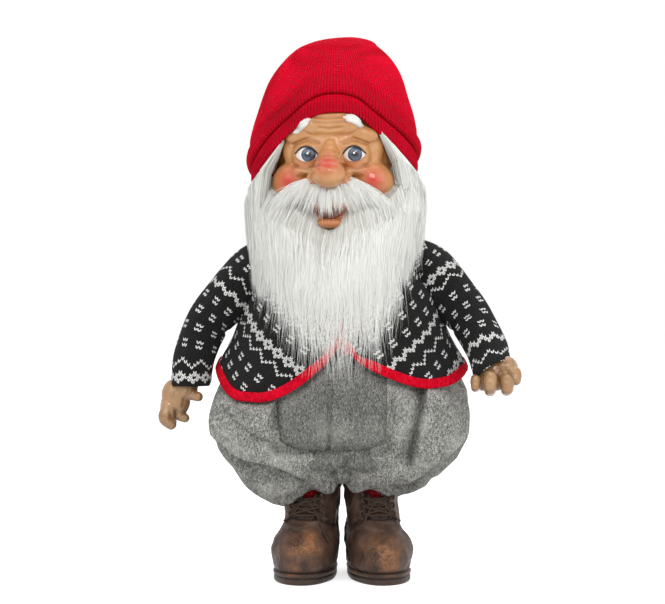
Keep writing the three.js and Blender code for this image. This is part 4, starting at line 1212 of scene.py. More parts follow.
boots = {
    "spread": 24.5, "toeOut": 9, "top": 76, "soleTop": 9.2, "heelTaper": 0.17,
    # height, half width, reach to the toe, reach to the heel
    "upper": [(8.0, 25.2, 63.4, 27.8), (12, 26.6, 65.4, 28.6), (18, 27.9, 67, 29), (25, 28.2, 66.4, 28.8),
              (31, 27.6, 63.2, 28.2), (37, 25.8, 56.5, 27.6), (43, 23.4, 47.6, 27), (49, 22.4, 39, 26.6),
              (56, 22.3, 32.4, 26.3), (64, 22.5, 28.4, 26), (70, 22.6, 27, 26), (78, 22.8, 26.6, 26)],
    # powers that round the outline in front, behind and at the sides
    "roundFront": 0.88, "roundBack": 0.92, "roundSide": 0.9,
    # share of the way, step out, height: under the foot, the edge with its welt, and back in on top
    "sole": [(0, -60, 0), (0.25, -12, 0), (0.34, -0.6, 0), (0.40, 0.8, 0.8), (0.48, 1.1, 2.4),
             (0.56, 0.9, 4.6), (0.60, 0.2, 5.2), (0.64, 0.9, 5.8), (0.72, 1.6, 7.2), (0.80, 1.4, 8.8),
             (0.85, 0.2, 9.4), (0.92, -5, 9.3), (1, -20, 9.2)],
    # half width, reach to the toe, reach to the heel
    "soleEdge": (25.4, 64.4, 28.2),
    # lines on the boot's front view: across, height
    "seams": [[(-30, 33), (-24, 40), (-17, 47), (-12, 50.5), (12, 50.5), (17, 47), (24, 40), (30, 33)]],
    "facings": [[(-8.5, 51), (-9, 60), (-9.5, 74)], [(8.5, 51), (9, 60), (9.5, 74)]],
    "toeCrease": [[(-14, 28), (0, 31), (14, 28)]],
    # the loose ends of the lace, the inner one first: across, height, step out
    "ends": [[(-2, 66, 2.6), (4, 61, 2.6), (9, 54, 1.8), (13, 46, 1.2), (18, 38, 1.1), (21, 33, 1.0)],
             [(-2, 66, 2.6), (5, 62, 3.0), (10, 55, 2.2), (15, 50, 1.6), (20, 47, 1.3)]],
    "eyelets": (53.5, 60, 66.5), "eyeletAcross": 12.5, "eyeletRing": 2.1, "lace": 0.85,
    "bulge": 3.6, "standBack": 2.6, "upperGrid": (150, 96), "soleGrid": (240, 56),
    # where the toes are rubbed: across, forward, height
    "rubbed": {"right": (2, -58, 32), "left": (-1, -62, 26)},
}


def footOutline(alpha, wide, fore, back):
    s, c = np.sin(alpha), np.cos(alpha)
    y = np.where(c > 0, -fore * np.abs(c) ** boots["roundFront"], back * np.abs(c) ** boots["roundBack"])
    return wide * bent(s, boots["roundSide"]), y


def narrowed(x, y, z):
    towardsHeel = np.clip(1.5 * (y + 30) / 59, 0, 1)
    return x * (1 - boots["heelTaper"] * towardsHeel * (1 - smoothStep(9, 76, z)))


def bootPlace(side, points):
    x, y, z = np.asarray(points, float).T
    x, y = turnFlat(x, y, sideSigns[side] * boots["toeOut"])
    return np.column_stack((x + sideSigns[side] * boots["spread"], y, z))


def bootPoints(obj, side):
    # the piece's points in the boot's own place
    points = dollPoints(obj) - bootPlace(side, [(0, 0, 0)])[0]
    x, y = turnFlat(points[:, 0], points[:, 1], -sideSigns[side] * boots["toeOut"])
    return np.column_stack((x, y, points[:, 2]))


def toeSwell(side, alpha, y):
    # the outer side of the toe box swells, and the inner side stands back from the other boot
    out = sideSigns[side] * np.sin(alpha)
    swell = boots["bulge"] * smoothStep(-12, -40, y) * out
    return sideSigns[side] * np.where(out > 0, swell, -boots["standBack"] * out)


def bootFront(x, z, out):
    # a point in front of the upper, x across the foot
    wide, fore, _ = along(boots["upper"], np.array([z], float))[0]
    s = min(0.999, abs(x) / wide) ** (1 / boots["roundSide"])
    return (x, -fore * math.sqrt(1 - s * s) ** boots["roundFront"] - out, z)


def bootLine(obj, side, lines, depth, width, shoulder=0.0):
    # grooves drawn on the boot's own front view
    points, normals = bootPoints(obj, side), getNormals(obj)
    _, facing = turnFlat(normals[:, 0], normals[:, 1], -sideSigns[side] * boots["toeOut"])
    reach = smoothStep(0.02, 0.25, -facing)
    pushOut(obj, normals, grooves(points[:, [0, 2]], lines, depth, width, shoulder, 2) * reach)


def makeLeather(name, shade):
    material, tree, shader = newFinish(name, 0.5, specular=0.35, coat=0.06)
    place = objectPlace(tree)
    mottle = useGroup(tree, mottleGroup, {"Place": place, "Scale": 55.0})
    tints = [tone(*(shade * part for part in tint)) for tint in ((42, 29, 23), (77, 55, 44), (103, 77, 62))]
    base = ramp(tree, mottle.outputs["Cloud"], list(zip((0.25, 0.5, 0.8), tints)))
    scuff = readMark(tree, "scuff")
    spread = plus(tree, mottle.outputs["Cloud"], times(tree, mottle.outputs["Grain"], 0.5))
    worn = times(tree, scuff, remap(tree, spread, 0.58, 0.88))
    warm = mixTint(tree, mottle.outputs["Grain"], paint(140, 86, 48), paint(202, 140, 90))
    # painted shade in the seams and grooves, in a near-black brown
    creaseShade = readMark(tree, "creaseShade")
    tinted = mixTint(tree, worn, base, warm)
    feed(tree, shader, "Base Color", mixTint(tree, creaseShade, tinted, paint(26, 18, 15)))
    feed(tree, shader, "Roughness", remap(tree, mottle.outputs["Grain"], 0.3, 0.7, 0.38, 0.62))
    pores = wire(tree, "ShaderNodeTexVoronoi", {"Vector": place, "Scale": 700.0},
                 feature="DISTANCE_TO_EDGE").outputs[0]
    height = plus(tree, times(tree, remap(tree, pores, 0.0, 0.2), 0.5), mottle.outputs["Grain"])
    bumpTo(tree, shader, height, 0.0004)
    return material


bootLeather = makeLeather("bootLeather", 1.0)
soleLeather = makeLeather("soleLeather", 0.8)
laceCord = makePlain("laceCord", (42, 32, 27), (88, 70, 60), 220.0, 0.75, specular=0.2, bump=0.0004)


def addBoot(side):
    def upper(u, v):
        alpha = (2 * u - 1) * math.pi
        # lower over the instep, a little higher at the heel
        top = boots["top"] - 11 * bell(alpha, 0.5) + 1.5 * bell(np.abs(alpha) - math.pi, 0.6)
        rise = np.clip(v / 0.9, 0, 1)
        inside = smoothStep(0.9, 1.0, v)
        z = boots["soleTop"] - 1 + (top - boots["soleTop"] + 1) * rise
        lip = 1.2 * bell(v - 0.88, 0.025)
        x, y = footOutline(alpha, *(along(boots["upper"], z).T + lip - 4.5 * inside))
        z = z + 1.3 * np.sin(inside * math.pi) - 12 * smoothStep(0.93, 1.0, v)
        points = np.column_stack((narrowed(x, y, z), y, z))
        # the toe box swells out over the sole
        points[:, 0] += toeSwell(side, alpha, y) * smoothStep(47, 30, z)
        # creased leather over the instep and at the ankle
        bend = bell(z - 45, 8) * smoothStep(0.2, 0.9, np.cos(alpha))
        wrinkle = 0.8 * bend * np.sin(z * 0.9 + 2 * np.sin(alpha * 3))
        wrinkle = wrinkle + 0.7 * ripple(points, 17, 41) + 0.35 * ripple(points, 7, 42)
        grow = wrinkle * smoothStep(8, 14, z)
        points[:, 0] += grow * np.sin(alpha)
        points[:, 1] -= grow * np.cos(alpha)
        return bootPlace(side, points), np.column_stack((alpha * 30, z))

    obj = shapeGrid(side + "_boot_upper", *boots["upperGrid"], upper)
    bootLine(obj, side, boots["seams"], 1.3, 1.1, 0.7)
    bootLine(obj, side, boots["facings"], 1.5, 1.1, 0.9)
    bootLine(obj, side, boots["toeCrease"], 0.5, 1.6)
    # where paint is rubbed off the toe, and painted shade in the seams and low on the upper above the sole
    points = dollPoints(obj)
    toe = bootPlace(side, [boots["rubbed"][side]])[0]
    edge = bootPlace(side, [(1, -64, 14)])[0]
    scuff = spotAt(points, toe, (12, 16, 10)) * 1.3 + 0.5 * spotAt(points, edge, (9, 8, 5))
    setAttribute(obj, "scuff", scuff)
    own = bootPoints(obj, side)
    gap = nearestLine(own[:, [0, 2]], boots["seams"] + boots["facings"])
    creaseShade = bell(gap, 1.2) * (own[:, 1] < 0) + smoothStep(13, 9, points[:, 2])
    setAttribute(obj, "creaseShade", np.clip(creaseShade, 0, 0.85))
    obj.data.materials.append(bootLeather)

    def sole(u, v):
        alpha = (2 * u - 1) * math.pi
        out, z = along(boots["sole"], v).T
        x, y = footOutline(alpha, *(reach + np.maximum(out, -reach) for reach in boots["soleEdge"]))
        x = narrowed(x, y, np.full(len(x), 5.0))
        x = x + toeSwell(side, alpha, y)
        z = z + 0.25 * np.sin(alpha * 60) * bell(v - 0.8, 0.03)
        points = np.column_stack((x, y, np.maximum(z, 0)))
        return bootPlace(side, points), np.column_stack((alpha * 40, z))

    base = shapeGrid(side + "_sole_welt", *boots["soleGrid"], sole)
    points = dollPoints(base)
    z = points[:, 2]
    patches = smoothStep(-0.5, 0.6, ripple(points, 16, 44))
    setAttribute(base, "scuff", 0.35 * smoothStep(5.5, 8.5, z) * patches)
    # painted shade in the welt's groove and on its top where it goes in under the upper
    setAttribute(base, "creaseShade", 0.9 * bell(z - 5.2, 0.5) + 0.6 * smoothStep(9.0, 9.3, z))
    base.data.materials.append(soleLeather)

    cords = []
    across = boots["eyeletAcross"]
    for i, z in enumerate(boots["eyelets"]):
        sag = 0.9 if i % 2 else -0.6
        cords.append([bootFront(x, z + sag * math.cos(x / across * 1.5), 1.7)
                      for x in np.linspace(-across, across, 9)])
        for sign in (-1, 1):
            eyelet = np.array(bootFront(sign * across, z, 0.5))
            cords.append([tuple(eyelet + boots["eyeletRing"] * np.array((math.cos(a), 0, math.sin(a))))
                          for a in np.linspace(0, 2 * math.pi, 13)])
        if i:
            below = boots["eyelets"][i - 1]
            for sign in (-1, 1):
                cords.append([bootFront(sign * across * (1 - 2 * t), below + (z - below) * t, 2.4)
                              for t in np.linspace(0, 1, 9)])
    for sign, end in zip((-sideSigns[side], sideSigns[side]), boots["ends"]):
        cords.append([bootFront(sign * x, z, out) for x, z, out in end])
    laces = []
    for points in cords:
        fine, _ = curveThrough(points, 4 * len(points))
        laces.append(tubeAlong("lace", bootPlace(side, fine), boots["lace"]))
    laced = joinAll(side + "_boot_laces", laces)
    laced.data.materials.append(laceCord)
    for piece, node, slot in ((obj, side + "_boot", "boot"), (base, side + "_boot_sole", "sole"),
                              (laced, None, "boot")):
        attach(piece, "torso")
        if node:
            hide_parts(node)


def makeSockKnit():
    material, tree, shader = newFinish("sockKnit", 0.9, sheen=0.1, specular=0.15)
    stitch = useGroup(tree, stitchGroup, {"Cloth": clothPlace(tree), "Width": 2.4 * mm, "Rise": 2.0 * mm})
    fibres = onPiece(tree, fibreGroup, 1400.0)
    red = mixTint(tree, fibres.outputs["Fleck"], paint(150, 4, 20), paint(214, 16, 40))
    # painted shade: the red goes darker down between the stitches' legs
    shaded = mixTint(tree, remap(tree, stitch.outputs["Height"], 0.0, 0.6, 0.6, 0.0), red, paint(70, 0, 8))
    feed(tree, shader, "Base Color", shaded)
    bumpTo(tree, shader, plus(tree, stitch.outputs["Height"], fibres.outputs["Height"]), 0.0007)
    return material


sockKnit = makeSockKnit()


socks = {
    "foot": 48, "rise": 40, "radius": 15.4, "rollAt": 68, "rollHalf": 6, "roll": 5.2, "rollAhead": 2.2,
    "ribs": 22, "rib": 0.5, "sag": 0.8, "clothRadius": 18, "wall": 0.0015, "grid": (132, 40),
}


def addSock(side):
    def place(u, v):
        alpha = (2 * u - 1) * math.pi
        z = socks["foot"] + socks["rise"] * v
        # ribbed, with a turned-over roll above the boot
        roll = bell(z - socks["rollAt"], socks["rollHalf"])
        ribs = socks["rib"] * np.cos(alpha * socks["ribs"])
        sag = socks["sag"] * np.sin(z * 1.1 + np.sin(alpha * 2))
        radius = socks["radius"] + socks["roll"] * roll + ribs + sag
        x = radius * np.sin(alpha) + sideSigns[side] * boots["spread"]
        y = -(radius + socks["rollAhead"] * roll) * np.cos(alpha)
        return np.column_stack((x, y, z)), np.column_stack((alpha * socks["clothRadius"], z))

    obj = shapeGrid(side + "_sock_knit", *socks["grid"], place)
    addWall(obj, socks["wall"])
    obj.data.materials.append(sockKnit)
    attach(obj, "torso")
    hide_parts(side + "_sock")


for side in sideSigns:
    addBoot(side)
    addSock(side)
print("boots and socks made")


# vinyl head with painted eyes

head = {
    "shift": -3, "yaw": -7.5, "voxel": 1.0,
    # middle, radii
    "lumps": [((0, 1, 350), (53.5, 54, 60)), ((0, -6, 312), (45, 46, 30)), ((0, -45, 298), (15, 9, 9)),
              ((0, 0, 284), (24, 24, 18)), ((0, -63, 331), (14, 13, 11.5)),
              ((0, -60, 336.5), (11.8, 11.5, 11)), ((0, -56.5, 342), (9.6, 10, 10)),
              ((0, -53, 347.5), (7.8, 8.5, 9)), ((0, -50, 352.5), (6.4, 7, 8)), ((0, -50, 314), (20, 9, 9)),
              ((0, -53.5, 291.5), (11.5, 6, 4.2)), ((0, -54, 307), (15, 6, 4)),
              ((0, -50, 372), (26, 6, 10))],
    # the same on both sides
    "pairs": [((31.5, -34.5, 325.5), (19.5, 17, 18)), ((26, -41, 321), (13, 10, 12)),
              ((13, -55, 327), (6, 7, 6)), ((22, -41.5, 365), (17, 8.5, 8)),
              ((19.5, -42, 347), (13.4, 13.4, 13.4)), ((21, -47, 335), (13, 7, 5.5)),
              ((51, 4, 338), (6, 10, 14)), ((31, -34, 350), (11, 10, 16))],
    "eye": (19.5, -42, 347), "eyeball": 12.3, "openHalf": 9.7, "openUp": 6.6, "openDown": 5.5,
    "look": {"left": 1.0, "right": 2.0},
    # lines as seen from the front, on the forehead and on both sides: x, height
    "creases": [[(-16, 378), (-6, 376.5), (6, 377), (15, 378.5)],
                [(-14, 373.5), (-5, 372.2), (6, 372.4), (13, 374)], [(-9, 369), (0, 368), (9, 369.2)]],
    "sideCreases": [[(14, 331), (19, 325), (24, 316), (26, 306)], [(10, 338), (20, 335.5), (31, 339)],
                    [(10, 356.5), (19, 360), (30, 356)]],
    # height, half width and half height of the open mouth
    "mouth": (299.6, 11, 4.8), "lash": 0.75, "browStroke": 2.0,
    # middle, reach and strength of the rosy spots on one half of the face
    "blush": [((0, -71, 338.5), (9.5, 12, 7), 0.95), ((0, -63, 347), (6, 10, 5), 0.3),
              ((0, -52, 298), (10, 10, 5), 0.75), ((0, -58, 291), (9, 8, 4), 0.3),
              ((35, -50, 326), (9, 14, 10), 0.95), ((13, -58, 326), (5, 8, 5), 0.35),
              ((20, -52, 340), (9, 8, 3), 0.3)],
    "brow": {"left": [(4, 377), (12, 375.5), (20, 370)], "right": [(37, 365), (30, 371), (23, 376)]},
}


def onHead(points):
    points = np.atleast_2d(np.asarray(points, float))
    x, y = turnFlat(points[:, 0], points[:, 1], head["yaw"])
    return np.column_stack((x + head["shift"], y, points[:, 2]))


def headPoints(obj):
    # the piece's points in the head's own place
    points = dollPoints(obj)
    x, y = turnFlat(points[:, 0] - head["shift"], points[:, 1], -head["yaw"])
    return np.column_stack((x, y, points[:, 2]))


def faceLines(lines):
    return [[tuple(onHead([(x, -50, z)])[0][[0, 2]]) for x, z in line] for line in lines]


def eyeEdge(x, upper):
    # the lids' edges about the eye's middle
    bow = 1 - np.clip(np.abs(x) / head["openHalf"], 0, 1) ** 2.1
    return head["openUp"] * bow if upper else -head["openDown"] * bow


def makeSkin(name, deep, middle, pale, worn):
    material, tree, shader = newFinish(name, 0.36, specular=0.25, coat=0.8)
    shader.inputs["Coat Roughness"].default_value = 0.07
    mottle = onPiece(tree, mottleGroup, 48.0)
    stops = [(0.3, tone(*deep)), (0.52, tone(*middle)), (0.75, tone(*pale))]
    base = ramp(tree, mottle.outputs["Cloud"], stops)
    blush = readMark(tree, "blush")
    # painted shade: in creases and recesses the skin goes to the last colour
    creaseShade = readMark(tree, "creaseShade")
    rosy = mixTint(tree, times(tree, blush, remap(tree, mottle.outputs["Cloud"], 0.3, 0.7, 0.85, 1.0)),
                   base, paint(200, 22, 14))
    feed(tree, shader, "Base Color", mixTint(tree, creaseShade, rosy, paint(*worn)))
    feed(tree, shader, "Roughness", remap(tree, mottle.outputs["Grain"], 0.3, 0.7, 0.3, 0.44))
    bumpTo(tree, shader, mottle.outputs["Grain"], 0.0002)
    return material


def makeEyePaint():
    material, tree, shader = newFinish("eyePaint", 0.12, specular=0.5, coat=0.5)
    off = readMark(tree, "gaze")
    streaks = noiseAt(tree, objectPlace(tree), 900.0)
    moved = plus(tree, off, times(tree, minus(tree, streaks, 0.5), 0.06))
    # pupil, iris with its dark rim, white
    rings = [(0.0, (8, 8, 12)), (0.21, (8, 8, 12)), (0.24, (34, 46, 64)), (0.40, (60, 78, 104)),
             (0.53, (42, 55, 76)), (0.57, (24, 31, 44)), (0.60, (236, 234, 230)), (1.0, (226, 214, 204))]
    tint = ramp(tree, moved, [(place, tone(*ring)) for place, ring in rings])
    # a painted highlight: a small white spot on the eye
    glint = readMark(tree, "glint")
    glinting = mixTint(tree, remap(tree, glint, 0.35, 0.5), tint, paint(250, 250, 250))
    feed(tree, shader, "Base Color", glinting)
    return material


skinVinyl = makeSkin("skinVinyl", (180, 121, 68), (197, 140, 86), (210, 156, 104), (128, 70, 34))
handVinyl = makeSkin("handVinyl", (140, 100, 62), (162, 123, 82), (182, 143, 102), (74, 44, 20))
eyePaint = makeEyePaint()
browPaint = makePlain("browPaint", (214, 212, 206), (240, 239, 236), 90.0, 0.45, specular=0.35, bump=0.0005)
lashPaint = makePlain("lashPaint", (14, 10, 9), (34, 24, 20), 200.0, 0.35, bump=0)


def addHead():
    turn = (0, 0, head["yaw"])
    lumps = [ballAt(onHead([at])[0], size, turn, 40) for at, size in head["lumps"]]
    for sign in (1, -1):
        lumps += [ballAt(onHead([(sign * x, y, z)])[0], size, (0, sign * 14, head["yaw"]))
                  for (x, y, z), size in head["pairs"]]
    obj = melt(joinAll("head_vinyl", lumps), head["voxel"], 13)
    mirrored = [[[(sign * x, z) for x, z in line] for sign in (1, -1)] for line in head["sideCreases"]]
    creases = faceLines(head["creases"] + sum(mirrored, []))
    press(obj, creases, 0.9, 1.2, shoulder=0.6)
    # the lids open over the eyes, and the lips over the mouth
    points = headPoints(obj)
    front = smoothStep(-20, -34, points[:, 1])
    sink = np.zeros(len(points))
    creaseShade = np.zeros(len(points))
    eyeX, eyeY, eyeZ = head["eye"]
    for sign in (1, -1):
        x = points[:, 0] - sign * eyeX
        z = points[:, 2] - eyeZ
        inside = np.minimum(eyeEdge(x, True) - z, z - eyeEdge(x, False))
        inside = np.where(np.abs(x) < head["openHalf"], inside, -9)
        sink += 4.5 * smoothStep(-0.4, 1.0, inside)
        # painted shade along the lids' edges
        creaseShade = np.maximum(creaseShade, 0.5 * bell(inside + 0.5, 1.0))
    mouthZ, mouthWide, mouthHigh = head["mouth"]
    overLip = points[:, 2] - mouthZ - 0.012 * points[:, 0] ** 2
    mouth = 1 - (np.abs(points[:, 0]) / mouthWide) ** 2 - (overLip / mouthHigh) ** 2
    parted = smoothStep(-0.15, 0.35, mouth)
    sink += 6 * parted
    shift = np.zeros_like(points)
    shift[:, 1] = sink * front
    setPoints(obj, getPoints(obj) + shift * mm)
    # painted shade along the pressed lines and inside the open mouth
    gap = nearestLine(dollPoints(obj)[:, [0, 2]], creases)
    creaseShade = np.maximum(creaseShade, 0.3 * bell(gap, 1.1)) * front
    creaseShade = np.maximum(creaseShade, 0.85 * parted * front)
    setAttribute(obj, "creaseShade", creaseShade)
    blush = np.zeros(len(points))
    for (x, y, z), size, most in head["blush"]:
        for sign in (1, -1):
            blush = np.maximum(blush, most * spotAt(points, (sign * x, y, z), size))
    setAttribute(obj, "blush", blush)
    obj.data.materials.append(skinVinyl)
    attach(obj, "head")
    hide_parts("head_shell")

    eyes, lashes, brows = [], [], []
    for side, sign in sideSigns.items():
        centre = np.array((sign * eyeX, eyeY, eyeZ))
        eye = ballAt(onHead([centre])[0], head["eyeball"], (90, 0, head["yaw"]), 96)
        smoothShade(eye)
        at = headPoints(eye) - centre
        aside = at[:, 0] - head["look"][side]
        off = np.hypot(aside, at[:, 2] - 0.2)
        # a painted highlight, a little above the pupil and to one side
        shine = 1 - np.hypot(aside + 0.7, at[:, 2] - 1.2) / 1.5
        # past the front half all is plain white
        setAttribute(eye, "gaze", np.where(at[:, 1] < 0, np.clip(off / 10, 0, 1), 1.0))
        setAttribute(eye, "glint", np.where(at[:, 1] < 0, np.clip(shine, 0, 1), 0))
        eyes.append(eye)
        # the lash follows the upper lid and lifts at the outer corner
        half = head["openHalf"]
        x = np.linspace(-half - 0.4, half + 0.4, 25)
        z = eyeEdge(x, True) + 0.3
        z = z + np.where(sign * x > half - 1.5, (sign * x - half + 1.5) * 0.4, 0)
        r = head["eyeball"] + head["lash"]
        y = -np.sqrt(np.maximum(r * r - x * x - z * z, 1))
        line = onHead(np.column_stack((x, y, z)) + centre)
        taper = 0.35 + 0.65 * np.clip(1 - np.abs(x / (half + 0.6)) ** 4, 0, 1)
        lashes.append(tubeAlong("lash", line, head["lash"], taper))
        for k in range(3):
            # brushed tufts of white paint, raised on the brow
            run, _ = curveThrough([(px, 0, pz + (k - 1) * 1.9) for px, pz in head["brow"][side]], 9)
            run[:, 0] *= sign
            run = onHead(run)
            # the outer strokes are shorter, so that the ends are round
            run = run[abs(k - 1):len(run) - abs(k - 1)]
            for spot in run:
                # laid on the forehead from in front
                ahead = Vector(toFrame([(spot[0], -150, spot[2])])[0])
                found, place, _, _ = obj.ray_cast(ahead, Vector((0, 1, 0)))
                spot[1] = (place.y - midY) / mm - 0.6 if found else spot[1]
            swell = 0.25 + 0.75 * np.sin(np.linspace(0.06, 0.95, len(run)) * math.pi) ** 0.6
            brows.append(tubeAlong("brow", run, head["browStroke"], swell))
    eyePair, lashPair = joinAll("head_eyes", eyes), joinAll("head_lashes", lashes)
    browPair = melt(joinAll("head_brows", brows), 0.5, 2)
    for piece, finish in ((eyePair, eyePaint), (lashPair, lashPaint), (browPair, browPaint)):
        piece.data.materials.append(finish)
        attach(piece, "head")


addHead()
print("head made")


# vinyl hands

hands = {
    "right": {
        # step aside and radius of the wrist
        "wrist": ((-3.6, 0, 0), 11),
        # middle, radii and turn
        "palm": [((-138, -13, 148), (12, 11.5, 16), (0, -10, 0)),
                 ((-143, -13, 139), (8.4, 12, 13), (0, -4, 0)), ((-133, -11, 152), (8, 10, 9), (0, 0, 0)),
                 ((-138, -12, 141), (8, 10, 8), (0, 0, 0))],
        # joints and radius of each finger, from the knuckle to the tip
        "fingers": [([(-144, -19, 142), (-146, -22, 130.5), (-141.5, -20, 126.5)], 5.6),
                    ([(-137, -15, 141), (-134.5, -15, 133), (-130.5, -14, 131.2)], 4.6),
                    ([(-145.5, -11, 140), (-147.5, -10, 130), (-143, -8, 127)], 5.0),
                    ([(-144.5, -3, 140), (-147, -2, 131), (-142, -1, 128)], 4.5),
                    ([(-132, -15, 153), (-124.5, -18, 150.6), (-119.2, -19, 149.2)], 4.8)],
    },
    "left": {
        "wrist": ((0, 0, 0), 12.6),
        "palm": [((122, -62, 171), (17, 12, 9), (0, 8, 0)), ((118.5, -65, 163.5), (16, 9, 7.5), (0, 0, 0)),
                 ((131, -64, 175), (10.5, 11, 10), (0, 30, 0)),
                 ((135.5, -66, 169.5), (7, 9, 8), (0, 22, 0))],
        "fingers": [([(107, -66, 166), (106.3, -75, 164.5), (106, -77.5, 161), (106.3, -74, 159.8)], 4.3),
                    ([(117.6, -70, 169), (117.7, -79, 167), (117.7, -81.5, 160.5), (117.8, -76, 157.6)],
                     5.6),
                    ([(130, -69, 167), (131, -78, 164.5), (131.2, -80, 160), (131, -74, 157.6)], 5.6),
                    ([(134, -66, 174), (138.4, -72, 169.5), (138, -73.5, 166)], 5.6)],
    },
}


def addHand(side):
    _, _, wrist, _, fore = armPath(side)
    bits = [ballAt(at, size, turn) for at, size, turn in hands[side]["palm"]]
    aside, wristSize = hands[side]["wrist"]
    bits += [ballAt(wrist + fore * step + np.array(aside), wristSize) for step in (-12, -6, 0, 5)]
    fingers = []
    for joints, radius in hands[side]["fingers"]:
        run, _ = curveThrough(joints, 15)
        for i, spot in enumerate(run):
            share = i / (len(run) - 1)
            knuckle = 1 + 0.07 * bell(share - 0.5, 0.12) - 0.14 * share
            bits.append(ballAt(spot, radius * knuckle, segments=20))
        fingers.append((run, radius))
    obj = melt(joinAll(side + "_hand_vinyl", bits), 0.8, 3)
    points, normals = dollPoints(obj), getNormals(obj)
    # painted shade where the fingers meet and in the wrinkles
    reach = [np.min(np.linalg.norm(points[:, None, :] - run[None, ::2], axis=2), axis=1) / radius
             for run, radius in fingers]
    near = np.sort(np.array(reach), axis=0)
    between = bell(near[1] - near[0], 0.16) * smoothStep(1.7, 1.15, near[0])
    wrinkle = smoothStep(0.2, 0.9, ripple(points * (1, 1, 0.22), 3.4, 61)) * smoothStep(1.0, 1.5, near[0])
    # painted shade on the palm's side and under the fingers, on faces turned down
    inner = np.clip(-sideSigns[side] * normals[:, 0], 0, 1) * (0.9 if side == "right" else 0.25)
    palmAndUnderShade = 0.5 * smoothStep(0.1, 0.9, inner) + 0.4 * smoothStep(0.1, 0.9, -normals[:, 2])
    pushOut(obj, normals, -(0.6 * between + 0.35 * wrinkle))
    setAttribute(obj, "creaseShade", np.clip(0.8 * between + 0.3 * wrinkle + palmAndUnderShade, 0, 0.85))
    setAttribute(obj, "blush", 0.12 * smoothStep(0.2, 1.0, ripple(points, 22, 62)))
    obj.data.materials.append(handVinyl)
    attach(obj, side + "_hand")
    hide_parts(side + "_hand")


for side in sideSigns:
    addHand(side)
print("hands made")


# white fur: hair, beard and moustache

fur = {
    # points along a hair; the upright line that hairs lie round: x, y
    "steps": 6, "combedRound": (-3, 6.0),
    # beard: middle, half of its angle, radius at the roots, middle and spread of the tips across
    "middle": -3, "beardSpan": 79, "rootRadius": 49.0, "tipMiddle": -5, "tipSpread": 71,
    # radius of the side next to the chest, the thickness over it, how much less at the sides
    "beardInner": 70, "beardThick": 13.5, "innerWing": 4, "thickWing": 4.5,
    "cheekLine": [(-86, 352), (-70, 345), (-50, 325), (-36, 314), (-24, 309), (-13, 300), (-6, 291),
                  (0, 287.5), (6, 291), (13, 300), (24, 309), (36, 314), (50, 325), (70, 345), (86, 352)],
    "tips": [(-80, 246), (-71, 230), (-62, 216), (-54, 202), (-44, 186), (-30, 174), (-8, 166), (8, 168),
             (22, 174), (34, 184), (42, 200), (48, 222), (58, 246), (70, 262), (78, 272)],
    # angle round from the front, height where the hair ends
    "hairTips": [(-180, 261), (-150, 265), (-125, 271), (-95, 270), (-82, 262), (-70, 234), (-45, 228),
                 (45, 238), (60, 256), (82, 266), (95, 270), (125, 271), (150, 265), (180, 261)],
    "beardStrands": [("thick", 4600), ("thick", 4600), ("thick", 4600), ("thin", 2400), ("single", 800)],
    "hairStrands": (5000, 4600, 4600), "moustacheStrands": 1700,
    # how many hairs lean together
    "lock": {"thick": 70, "thin": 12, "single": 12, "hair": 28, "moustache": 25},
    # hair: middle, radius at the roots and where it stands out most, and how much less behind
    "hairMiddle": (-5.5, 1), "hairInner": 57, "hairOuter": 74, "innerBehind": 7, "outerBehind": 13,
    # angles of the hair: first ones at the temples, right and left, the last there, and round the back
    "templeFrom": (47, 36), "templeTo": 96, "backSpan": (70, 290),
    # angles that the cushions under the fur span, and their grid
    "beardCushion": (-78, 78), "hairCushion": (68, 292), "cushionGrid": (160, 60),
    # middle and radii of the moustache's cushions, the same on both sides
    "moustache": [((5, -57, 315), (6.2, 2.6, 2.6)), ((13.5, -57, 317), (7.2, 2.7, 2.6)),
                  ((21, -54.5, 316), (5.5, 2.5, 2.5))],
    # heights between which the fur goes from the head to the shoulders
    "loosens": {"hair": (318, 272), "beard": (305, 250)},
    "width": {"thick": (0.28, 0.5), "thin": (0.26, 0.42), "single": (0.24, 0.36)},
}


def makeFur(name, deep, pale):
    material, tree, shader = newFinish(name, 0.6, specular=0.25, sheen=0.06)
    strand = readMark(tree, "strand")
    down = readMark(tree, "along")
    fine = noiseAt(tree, objectPlace(tree), 260.0)
    # each hair has its own tone, and painted shade darkens the hairs towards their roots
    shade = plus(tree, times(tree, strand, 0.55), times(tree, down, 0.3))
    shade = plus(tree, shade, times(tree, fine, 0.25))
    tint = ramp(tree, shade, [(0.1, tone(*deep)), (0.6, tone(*pale)), (0.95, tone(246, 246, 243))])
    feed(tree, shader, "Base Color", tint)
    feed(tree, shader, "Roughness", remap(tree, fine, 0.3, 0.7, 0.5, 0.68))
    return material


furWhite = makeFur("furWhite", (216, 216, 208), (242, 242, 238))


